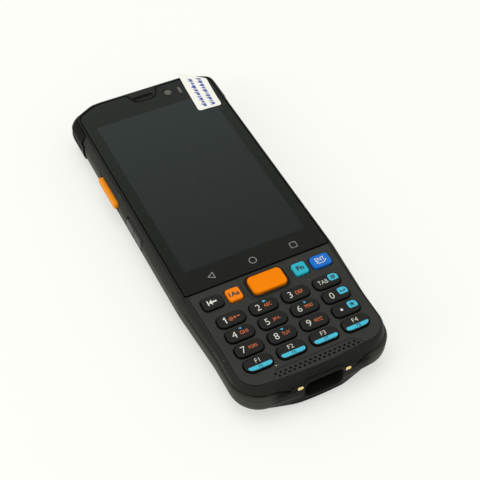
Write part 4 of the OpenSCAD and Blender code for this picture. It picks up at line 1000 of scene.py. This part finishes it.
def makeKeypadPlate():
    low, high, gap = body["deckTop"], face, keySizes["plateGap"]
    tools = [flaredTool(lambda g: keyPlan(name, gap + g), low - 1, high, 0.22)
             for name in keys if name != "scan"]
    tools.append(flaredTool(lambda g: keyPlan("scan", keySizes["ring"] + 0.05 + g), low - 1,
                            high, 0.15))
    count, pitch, y = grille["count"], grille["pitch"], grille["y"]
    for row in (0, 1):
        rowY = y - row * grille["step"]
        for i in range(count):
            x = (i - (count - 1) / 2 + row / 2 - 0.25) * pitch
            tools.append(flaredTool(lambda g: circle(x, rowY, grille["hole"] / 2 + g, 16),
                                    low - 1, high, 0.08))
    half = count * pitch / 2
    frameLine = [(half + 1.9, grille["foot"]), (half - 0.6, y + 0.8), (half - 2.2, y + 1.5)]
    for path, line in ((frameLine, grille["line"]), (scanGroove, 0.24)):
        tools.append(prismBand(bothHalves(path), line, high - 0.25, high + 1))
    x, y, r = lightPipe.values()
    tools.append(prism(circle(x, y, r + 0.02, 14), high - 0.3, high + 1))
    levels = [(low, -0.05), (high - 0.12, -0.05), (high - 0.04, -0.08), (high, -0.16)]
    addPiece("keypad-plate", carve(formed(platePlan, levels), tools), ["keypadPlate"],
             ["keypad_plate"])
    dot = stack(x, y, [(high - 0.3, r), (high - 0.06, r), (high, r - 0.12)], 14)
    addPiece("light-pipe", dot, ["iconPrint"])

    high, edge = face + keySizes["ringProud"], 0.3
    levels = [(low, 0), (high - edge, 0)] + roundedEdge(high, edge, edge, (22, 45, 68, 90))
    ring = carve(formed(lambda g: keyPlan("scan", keySizes["ring"] + g), levels),
                 [flaredTool(lambda g: keyPlan("scan", gap + g), low - 1, high, 0.25)])
    addPiece("scan-key-ring", ring, ["blackTrim"], ["scan_key_ring"])


makeKeypadPlate()
print("keypad plate done")


lid = {"width": 48.2, "low": -70.6, "high": 33.2, "inset": 0.3, "thick": 1.1, "gap": 0.2,
       "above": 0.6, "foot": 25.0, "footTop": 3.0, "footShort": 0.7, "trayLow": 1.9,
       "trayThick": 1.2, "rim": 1.4, "axis": (34.2, 1.1), "earX": 17.0, "earWidth": 3.0,
       "earRadius": 0.8, "pin": 0.5, "pinLength": 1.4, "pinHole": 0.55, "nail": 15.0,
       "nailHigh": 0.9, "rib": (13, 0.8, 0.35, 4), "ribs": 5, "ribFrom": 6, "ribPitch": 1.9,
       "panelEdge": 8, "panelShort": 30, "panelLine": 0.45}
bay = {"low": -59.5, "high": 28.0, "half": 23.2, "wall": 1.2, "roof": 7.5, "roofThick": 1.0,
       "plugHalf": 6.3, "plugLow": 3.6, "plugHigh": 6.7}
# rings are (height, radius), those of the window beyond its own radius
camera = {"x": 0.0, "y": 50.2, "radius": 6.0, "housing": 4.6,
          "window": ((-1.0, 0), (-0.5, 0), (-0.34, -0.1), (-0.3, -0.3), (-0.3, -1.3),
                     (-0.5, -1.55), (-0.5, -3.4)),
          "lens": ((-3.4, 3.6), (-1.1, 3.6), (-1.1, 2.2), (-1.3, 1.7), (-1.5, 0.9))}
flash = {"x": 11.0, "y": 50.2, "radius": 2.1,
         "rings": ((-1.8, 2.0), (-0.5, 2.0), (-0.32, 1.85), (-0.3, 1.6))}
scanWindow = {"width": 23.0, "height": 6.4, "z": 8.4, "gap": 0.2, "lip": 1.0, "half": 2.5}
# heights of the back and the inside; heights and insets of the foot, and of the fine line and
# soft edge below the joint
rear = {"back": (0, 0.25, 0.6, 1.0, 1.5, 2.1, 2.8, 3.6, 4.5, 5.5, 6.6, 7.8, 8.8),
        "edge": ((10.2, 0), (11.15, 0), (11.25, 0.05), (11.32, 0.16), (11.4, 0.16), (11.47, 0.05),
                 (11.55, 0), (11.85, 0), (12.0, 0.06), (12.07, 0.14)),
        "edgeInset": 0.26, "inside": (1.8, 2.4, 3.2, 4.2, 5.4, 6.8, 8.4), "reach": 13.2,
        "foot": ((0, 2.3), (0.25, 1.75), (0.6, 1.25), (1.1, 0.8), (1.7, 0.42), (2.4, 0.15),
                 (3.1, 0.02))}


def backIn(z):
    high = body["backRoundHeight"]
    return 0 if z >= high else body["backRound"] * ((high - z) / high) ** 2.2


def rearSkin(grow=0.0, edge=True):
    levels, last = [(z, grow - backIn(z)) for z in rear["back"]], grow
    if edge:
        levels += [(z, grow - inset) for z, inset in rear["edge"]]
        last -= rear["edgeInset"]
    return formed(bodyPlan, levels + [(seam - body["seamGap"], last)])


# block below the recess that keeps the end upright down to the table
def dockFoot(high):
    flank = [Vector(p) for p in dock["foot"]]
    levels = [(lid["inset"] + rise, inset) for rise, inset in rear["foot"]] + [(high, 0)]
    return endSwelling(flank[-1].x, 40, levels, 11, lambda x, y, inset: max(
        y, bottom + heightAt(flank, abs(x)) + 0.5 * inset))


def rearCavity():
    rim, low, foot, wall = lid["rim"], lid["low"], lid["foot"] / 2, bay["wall"]
    cavity = loft([(z, bodyPlan(-body["wall"] - backIn(z)))
                   for z in rear["inside"] + (rear["reach"],)])
    nailTop, high = lid["footTop"] + lid["nailHigh"], rear["reach"] + 0.8
    kept = [slab(lid["width"] / 2 + rim, low - rim, lid["axis"][0] + rim + 1, 0,
                 lid["trayLow"] + lid["trayThick"]),
            slab(foot + rim, bottom + 3.4, low, 0, nailTop + 1),
            slab(bay["half"] + wall, bay["low"] - wall, bay["high"] + wall, 0,
                 bay["roof"] + bay["roofThick"]),
            dockBlock(bottom - 2, nailTop, high)]
    kept += atScrews(lambda x, y, _: prism(circle(x, y, screws["boss"], 28), 0, high))
    return carve(cavity, kept)


# what the battery lid, its ears and the battery need
def lidTools():
    low, high, gap, foot = lid["low"], lid["high"], lid["gap"], lid["foot"] / 2 + lid["gap"]
    half, pinFrom, footTop = lid["width"] / 2 + gap, lid["earX"] + lid["earWidth"], lid["footTop"]

    def shape(g):
        return roundedOutline(mirrored([(half + g, low - gap - g, 1.6, 4),
                                        (half + g, high + lid["above"] + g, 1.6, 4)]))
    levels = ((-1.0, 0.25), (0.0, 0.25), (0.08, 0.1), (0.25, 0), (lid["trayLow"], 0))
    tools = [formed(shape, levels),
             slab(foot, bottom - 1, low - 0.4, -1, footTop + gap),
             slab(foot, low - 0.5, low + 3, -1, lid["trayLow"]),
             slab(half, high - 0.5, lid["axis"][0] + 0.4, -1, 0.4),
             slab(lid["nail"] / 2, bottom - 1, bottom + 3.2, footTop, footTop + lid["nailHigh"]),
             slab(bay["half"], bay["low"], bay["high"], -1, bay["roof"]),
             slab(bay["plugHalf"], bay["high"] - 1, bay["high"] + bay["wall"] + 1, bay["plugLow"],
                  bay["plugHigh"])]
    ear = block(lid["earX"] - gap, pinFrom + gap, high, lid["axis"][0] + 1.1, -1, 2.2)
    pin = prism(circle(0, 0, lid["pinHole"], 20), pinFrom, pinFrom + 1.7)
    return tools + bothSides(ear) + bothSides(placed(pin, 0, *lid["axis"], againstWall))


# mouth on the back with a softened edge
def backMouth(x, y, radius, depth, steps):
    tool = flaredTool(lambda g: circle(x, y, radius + g, steps), -depth, 0, 0.3)
    return turned(tool, upsideDown)


def makeRearHousing():
    x, y, r = camera["x"], camera["y"], camera["radius"]
    width, height, z, gap, lip, half = scanWindow.values()
    window = flaredTool(lambda g: softBox(width + gap, height + gap, 0.6, g=g), -1.3, 0, 0.35)
    tools = [rearCavity()] + lidTools()
    tools += [slab(width / 2 - lip, top - body["wall"] - 1, top, z - half, z + half),
              placed(window, 0, top, z, againstEnd @ upsideDown),
              prism(circle(x, y, r - 2, 40), -1, 3), backMouth(x, y, r + 0.1, 1.0, 48),
              prism(circle(flash["x"], flash["y"], flash["radius"], 28), -1, 3)]
    tools += atScrews(lambda x, y, seat: backMouth(x, y, screws["mouth"], seat, 28))
    tools += atScrews(lambda x, y, _: prism(circle(x, y, screws["hole"], 20), -1, 15))
    low = bumpers["low"] - bumpers["gap"]
    core = prism(bodyPlan(-bumpers["inside"]), low - 1, rear["reach"] + 1)
    tools += endTools() + sideTools() + bumperRoom(core, bumpers["from"], low, rear["reach"])
    outside = carve(rearSkin(), [dockFoot(body["backRoundHeight"])], "UNION")
    addPiece("rear-housing", paintRecessShade(carve(outside, tools)), ["rearShell", "recessPaintedShade"],
             ["rear_housing"])


makeRearHousing()
print("rear housing done")


def makeBumpers():
    proud, gap, line = bumpers["proud"], bumpers["gap"] / 2, bumpers["loopLine"]
    outer, far, over = halfHead + proud, 99, 30
    between = slab(halfHead - body["cornerRun"] - 1, -far, far, -1, over)
    lower = carve(rearSkin(proud, edge=False), [
        prism(bodyPlan(gap - bumpers["inside"]), -1, over),
        slab(50, -far, bumpers["from"], -1, over), slab(50, -far, far, -1, bumpers["low"]),
        between])
    heights = bumpers["front"] + (bumpers["high"],)
    core = loft([(z, bumperInner(z, gap)) for z in (11,) + heights + (18,)])
    upper = carve(loft([(z, bumperOuter(z)) for z in heights]),
                  [core, slab(50, -far, bumpers["frontFrom"], -1, over), between])

    # long loop groove with a pale strip in it that paints the highlight on its edges, and a slot,
    # let into each side
    def onSides(mesh):
        return bothSides(placed(mesh, 0, bumpers["loopY"], bumpers["loopZ"], againstWall))
    ring = softBox(*bumpers["loop"], 8)
    loop = prismBand(ring, line, outer - 0.4, halfHead + 3, closed=True)
    slot = prism(softBox(*bumpers["slot"], 5), outer - 0.45, halfHead + 3)
    loopHighlight = prismBand(ring, line - 0.05, outer - 0.38, outer - 0.04, closed=True)
    lower = carve(lower, onSides(loop) + onSides(slot))
    addPiece("bumper-loop-highlights", joined(onSides(loopHighlight)), ["loopPaintedHighlight"])
    parts = [softEdges(part, bumpers["edge"], 48) for part in (lower, upper)]
    addPiece("head-bumpers", joined(parts), ["bumper"], ["head_bumpers"],
             sharp=50)


makeBumpers()
print("bumpers done")


sideCaps = {"flange": 0.6, "depth": 0.15, "edge": 0.55, "radius": 1.6, "crown": 0.5, "over": 1.55,
            "lower": -0.07, "tabs": 5.0}


def sideCap(key, node, finishName):
    y, z, length, height, proud, room, side = sideKeys[key]
    high, start = halfHead + proud, halfHead - body["wall"] - sideCaps["depth"]
    low, tall, lower = start - sideCaps["flange"], room + sideCaps["over"], sideCaps["lower"]
    edge = min(sideCaps["edge"], proud + 0.25)
    inset = edge + sideCaps["crown"]
    levels = [(low, 0)] + roundedEdge(high, edge, edge, range(0, 91, 15))
    cap = loft([(x, softBox(length, height, sideCaps["radius"], 8, g=g)) for x, g in levels]
               + [(high - 0.02, softBox(length - 2 * inset, height - 2 * inset,
                                        min(0.7, height / 2 - inset - 0.05), 8))])
    if key == "rocker":
        cap = carve(cap, [prism(softBox(0.4, height + 2, 0.15, 3), high - 0.2, halfHead + 3)])
        flange = [prism(softBox(7.0, tall, 0.2, 2, 0, lower), low, low + 0.25)]
        flange += [prism(softBox(1.6, 1.6, 0.2, 2, x, 0), low, start)
                   for x in (sideCaps["tabs"], -sideCaps["tabs"])]
        flange.append(prism(softBox(length - 1, height - 1, 0.8, 4), start - 0.4, start + 0.3))
    else:
        flange = [prism(softBox(length + 2.4, tall, 0.3, 2, 0, lower), low, start)]
    mesh = placed(joined([cap] + flange), 0, y, z, againstWall)
    addPiece(node.replace("_", "-"), mesh if side > 0 else turned(mesh, leftRight), [finishName],
             [node], node, sharp=50)


sideCap("scan", "side_scan_key", "sideOrange")
sideCap("rocker", "volume_rocker", "sideKeyGrey")
sideCap("power", "power_key", "sideKeyGrey")
print("side keys done")


marks = {"x": 17.6, "y": -26.3, "line": 0.18, "circle": 1.42, "square": 2.6}
earpiece = {"x": -0.5, "y": 75.6, "bars": 8, "turn": -25}


def makeGlass():
    low, high = face - glass["thick"], face - glass["below"]
    levels = [(low, 0), (high - 0.2, 0), (high - 0.06, -0.05), (high, -0.18)]
    addPiece("touch-glass", formed(glassPlan, levels), ["glassFace"],
             ["touch_glass"])
    x, y, count, turn = earpiece.values()
    bars = [prism([Matrix.Rotation(math.radians(turn), 2) @ p + Vector((i - count / 2 - 0.1, y))
                   for p in softBox(0.42, 1.25, 0.2, 3)], face - 2, face) for i in range(count)]
    mesh = carve(prism(softBox(9, 1.7, 0.8, 6, x, y), face - 0.95, face - 0.6), bars)
    addPiece("earpiece-mesh", mesh, ["blackTrim"], ["earpiece_mesh"])
    x, y, line, radius, square = marks.values()
    outlines = ([(1.1 - x, y + 1.4), (-x - 1.25, y), (1.1 - x, y - 1.4)],
                circle(0, y, radius, 40), softBox(square, square, 0.4, 4, x, y))
    shape = joined([band(outline, line, closed=True) for outline in outlines])
    addPiece("navigation-marks", placed(shape, 0, 0, face - glass["below"] / 3), ["iconPrint"],
             weighted=False)


tab = {"x": 23.45, "y": 69.2, "width": 10.7, "length": 25.6, "cut": 8.0, "turn": -3.3,
       "low": 17.18, "lift": 0.75, "thick": 0.12, "corner": 1.2}
# where two lines of strokes start across the tab, and the lengths of their words
dashes = {"lines": {0.25: (1.5, 0.9, 1.3, 0.6, 1.5, 1.1, 1.7, 0.8, 1.4, 1.0, 1.6),
                    0.6: (1.4, 0.7, 1.6, 1.0, 0.5, 1.6, 0.8, 1.3, 1.5, 0.9, 1.4)},
          "from": 0.07, "to": 0.95, "tall": (0.12, 0.17, 0.13, 0.19, 0.12), "across": 0.17,
          "width": 0.0145, "pitch": 0.0165, "space": 0.022, "above": 0.02}


# spot on the tab, s across and t along; the upper end curls up a little
def tabSpot(s, t, above=0.0):
    w, h, corner = tab["width"] / 2, tab["length"] / 2, tab["corner"]
    along = -h + t * (2 * h - tab["cut"] * s)
    left = corner - along - h
    side = w - (corner - math.sqrt(max(0, corner ** 2 - left ** 2)) if left > 0 else 0)
    across = -side + 2 * side * s
    curl = tab["lift"] * smooth(0.35, 1.0, t) ** 1.5 * (1 - 0.35 * s)
    wave = 0.05 * math.sin(5 * t + 3 * s)
    turn = math.radians(tab["turn"])
    return (tab["x"] + across * math.cos(turn) - along * math.sin(turn),
            tab["y"] + across * math.sin(turn) + along * math.cos(turn),
            tab["low"] + wave + curl + above)


def makeTab():
    steps = [0, 0.006, 0.013, 0.022, 0.034, 0.048] + [0.048 + 0.952 * k / 26 for k in range(1, 27)]
    sheet = sheetMesh([tabSpot(i / 10, t) for t in steps for i in range(11)], 11)
    addPiece("pull-tab", applied(sheet, "SOLIDIFY", thickness=tab["thick"], offset=1), ["tabFilm"],
             ["pull_tab"], sharp=50)
    strokes, above = [], tab["thick"] + dashes["above"]
    for s, runs in dashes["lines"].items():
        t, end = dashes["from"], s + dashes["across"]
        for run in runs:
            if t + run / 17 > dashes["to"]:
                break
            for stroke in range(round(run / 0.28)):
                tall = dashes["tall"][(stroke + len(strokes)) % len(dashes["tall"])]
                strokes.append(sheetMesh([tabSpot(end - tall + tall * i / 2, along, above)
                                          for along in (t, t + dashes["width"])
                                          for i in range(3)], 3))
                t += dashes["pitch"]
            t += dashes["space"]
    addPiece("tab-dashes", joined(strokes), ["bluePrint"], weighted=False)


makeGlass()
makeTab()
print("glass and tab done")


def makeBatteryLid():
    w, low, high, half, earX = (lid[key] for key in ("width", "low", "high", "foot", "earX"))
    w, half, earEnd = w / 2, half / 2, earX + lid["earWidth"]
    z0, z1 = lid["inset"], lid["inset"] + lid["thick"]

    def shape(g):
        return roundedOutline(mirrored([(w + g, low - g, 1.4, 4), (w + g, high + g, 0.4, 2)]))
    plate = formed(shape, ((z0, -0.3), (z0 + 0.08, -0.1), (z0 + 0.3, 0), (z1, 0)))
    # shallow ribs to push against, and a long shallow panel
    tools = [placed(prism(softBox(*lid["rib"]), -1, z0 + 0.28), 0,
                    low + lid["ribFrom"] + lid["ribPitch"] * i, 0) for i in range(lid["ribs"])]
    panel = softBox(2 * w - lid["panelEdge"], high - low - lid["panelShort"], 3, 6, 0,
                    (low + high) / 2 + 8)
    tools.append(prismBand(panel, lid["panelLine"], -1, z0 + 0.22, closed=True))
    bridge = slab(half - 0.1, low - 2.4, low + 0.6, z0 + 0.06, z1 - 0.06)
    keep = carve(rearSkin(edge=False), [dockFoot(lid["footTop"] + 1)], "UNION")
    foot = carve(slab(half, bottom - 3, low - lid["footShort"], z0, lid["footTop"]), [keep],
                 "INTERSECT")
    ear = block(earX, earEnd, high - 0.5, lid["axis"][0], z0 + 0.05, z1 - 0.05)
    knuckle = prism(circle(0, 0, lid["earRadius"], 28), earX, earEnd)
    pin = prism(circle(0, 0, lid["pin"], 20), earEnd - 0.5, earEnd + lid["pinLength"])
    parts = [carve(plate, tools), softEdges(foot, 0.25, 50), bridge] + bothSides(ear)
    for part in (knuckle, pin):
        parts += bothSides(placed(part, 0, *lid["axis"], againstWall))
    addPiece("battery-lid", joined(parts), ["rearShell"], ["battery_lid"],
             "battery_lid", sharp=40)


makeBatteryLid()


def makeScrew(x, y, seat):
    r, (far, near) = screws["head"], screws["star"]
    head = turned(stack(0, 0, [(-seat, r), (-seat + 0.9, r), (-seat + 1.12, r - 0.15),
                               (-seat + 1.2, r - 0.4)]), upsideDown)
    star = [(far if i % 4 in (0, 1) else near) * Vector((math.cos(math.pi * i / 12),
                                                         math.sin(math.pi * i / 12)))
            for i in range(24)]
    head = carve(head, [prism(star, seat - 3, seat - 0.5)])
    shaft = prism(circle(0, 0, screws["shaft"], 20), seat - 0.1, screws["shaftTop"])
    return placed(joined([head, shaft]), x, y, 0)


def makeSmallParts():
    width, height, corner = contacts["width"], contacts["height"], contacts["round"]
    # oval contacts with a domed end
    levels = [(-4.95, 0), (-0.3, 0)] + roundedEdge(0, 0.3, 0.4, (25, 50, 75, 90))
    contact = placed(formed(lambda g: softBox(width, height, corner, 8, g=g), levels),
                     contacts["x"], bottom + 0.65, contacts["z"], againstEnd)
    addPiece("charging-contacts", joined(bothSides(contact)), ["gold"],
             ["charging_contacts"])
    x, y, half = camera["x"], camera["y"], camera["housing"]
    rings = [(z, camera["radius"] + g) for z, g in camera["window"]]
    addPiece("camera-window", turned(stack(x, y, rings), upsideDown), ["lensBlack"],
             ["camera_window"])
    lens = turned(stack(x, y, camera["lens"]), upsideDown)
    addPiece("rear-camera", joined([lens, slab(half, y - half, y + half, 1.9, 8.5)]),
             ["innerDark"], ["rear_camera"])
    addPiece("flash", turned(stack(flash["x"], flash["y"], flash["rings"]), upsideDown),
             ["flashLens"], ["flash_led"])
    addPiece("housing-screws", joined(atScrews(makeScrew)), ["darkSteel"],
             ["housing_screws"])


makeSmallParts()
print("back and ends done")

# finishes of the CAD parts that stay
cadFinish = {
    "circuit": "keypad_board main_board side_switches", "gold": "battery_contacts",
    "steel": "key_domes shield_cans usb_socket vibration_motor microphone",
    "alloy": "mid_frame earpiece", "matRubber": "key_mat", "sealRubber": "lid_seal",
    "innerDark": "display_panel loudspeaker scan_engine front_camera light_sensor",
    "cellWrap": "battery", "clearFilm": "screen_film", "redWindow": "scan_window",
}
for finishName, names in cadFinish.items():
    for name in names.split():
        mesh = frame["nodes"][name].data
        mesh.materials.clear()
        mesh.materials.append(finish[finishName])
print("finishes on CAD parts done")
bpy.data.collections.remove(workshop)

stage = {"size": 4.0, "low": -0.00005, "floor": (0.86, 0.865, 0.83), "shown": (0.99, 1.0, 0.955),
         "share": 0.56, "around": 0.72, "aroundTint": (1.0, 1.0, 0.97)}


# 1 for rays from the camera, reflections and transmission
def seenRays(tree):
    path = addNode(tree, "LightPath", {}).outputs
    seen = mathNode(tree, "ADD", path["Is Camera Ray"], path["Is Glossy Ray"], clamp=True)
    return mathNode(tree, "ADD", seen, path["Is Transmission Ray"], clamp=True)


# mixes two surfaces by a share and sends them to the output
def mixSurfaces(tree, output, share, first, second):
    mixer = addNode(tree, "MixShader", {0: share, 1: first.outputs[0], 2: second.outputs[0]})
    feed(tree, tree.nodes[output].inputs["Surface"], mixer.outputs[0])


def makeFloor():
    half, low = stage["size"] / 2, stage["low"]
    corners = [(-half, -half, low), (half, -half, low), (half, half, low), (-half, half, low)]
    mesh = newMesh(corners, [(0, 1, 2, 3)], "floor")
    floor = bpy.data.objects.new("floor", mesh)
    bpy.context.scene.collection.objects.link(floor)
    material = bpy.data.materials.new("paleFloor")
    material.use_nodes = True
    tree = material.node_tree
    tree.nodes.remove(tree.nodes["Principled BSDF"])
    share = mathNode(tree, "MULTIPLY", seenRays(tree), stage["share"])
    mixSurfaces(tree, "Material Output", share,
                addNode(tree, "BsdfDiffuse", {"Color": stage["floor"]}),
                addNode(tree, "Emission", {"Color": stage["shown"]}))
    mesh.materials.append(material)


def makeWorld():
    world = bpy.data.worlds.new("studio")
    bpy.context.scene.world = world
    world.use_nodes = True
    tree = world.node_tree
    light = tree.nodes["Background"]
    feed(tree, light.inputs["Color"], stage["aroundTint"])
    feed(tree, light.inputs["Strength"], stage["around"])
    mixSurfaces(tree, "World Output", seenRays(tree), light,
                addNode(tree, "Background", {"Color": stage["shown"]}))


# name: place, size, power
lights = {"leftSoftbox": ((-0.9, -0.05, 0.45), 0.45, 1.9),
          "rightSoftbox": ((0.7, -1.0, 0.7), 0.5, 0.4), "overhead": ((-0.15, 0.2, 2.0), 1.4, 15.0)}


def makeLights():
    for name, (spot, size, power) in lights.items():
        lamp = bpy.data.lights.new(name, "AREA")
        lamp.shape, lamp.size, lamp.energy = "SQUARE", size, power
        item = bpy.data.objects.new(name, lamp)
        item.location = spot
        item.rotation_euler = (-Vector(spot)).to_track_quat("-Z", "Y").to_euler()
        bpy.context.scene.collection.objects.link(item)


cameraView = {"at": (-0.12842, -0.24516, 0.32797), "turn": (40.2330, -1.7436, -27.1724),
              "lens": 79.28, "sensor": 36, "clip": 0.01}


def makeCamera():
    lens = bpy.data.cameras.new("camera")
    lens.lens, lens.sensor_width = cameraView["lens"], cameraView["sensor"]
    lens.clip_start = cameraView["clip"]
    item = bpy.data.objects.new("camera", lens)
    item.location = cameraView["at"]
    item.rotation_euler = [math.radians(angle) for angle in cameraView["turn"]]
    bpy.context.scene.collection.objects.link(item)
    bpy.context.scene.camera = item


makeFloor()
makeWorld()
makeLights()
makeCamera()
bpy.context.scene.view_settings.view_transform = "Standard"
print("stage, lights and camera done")
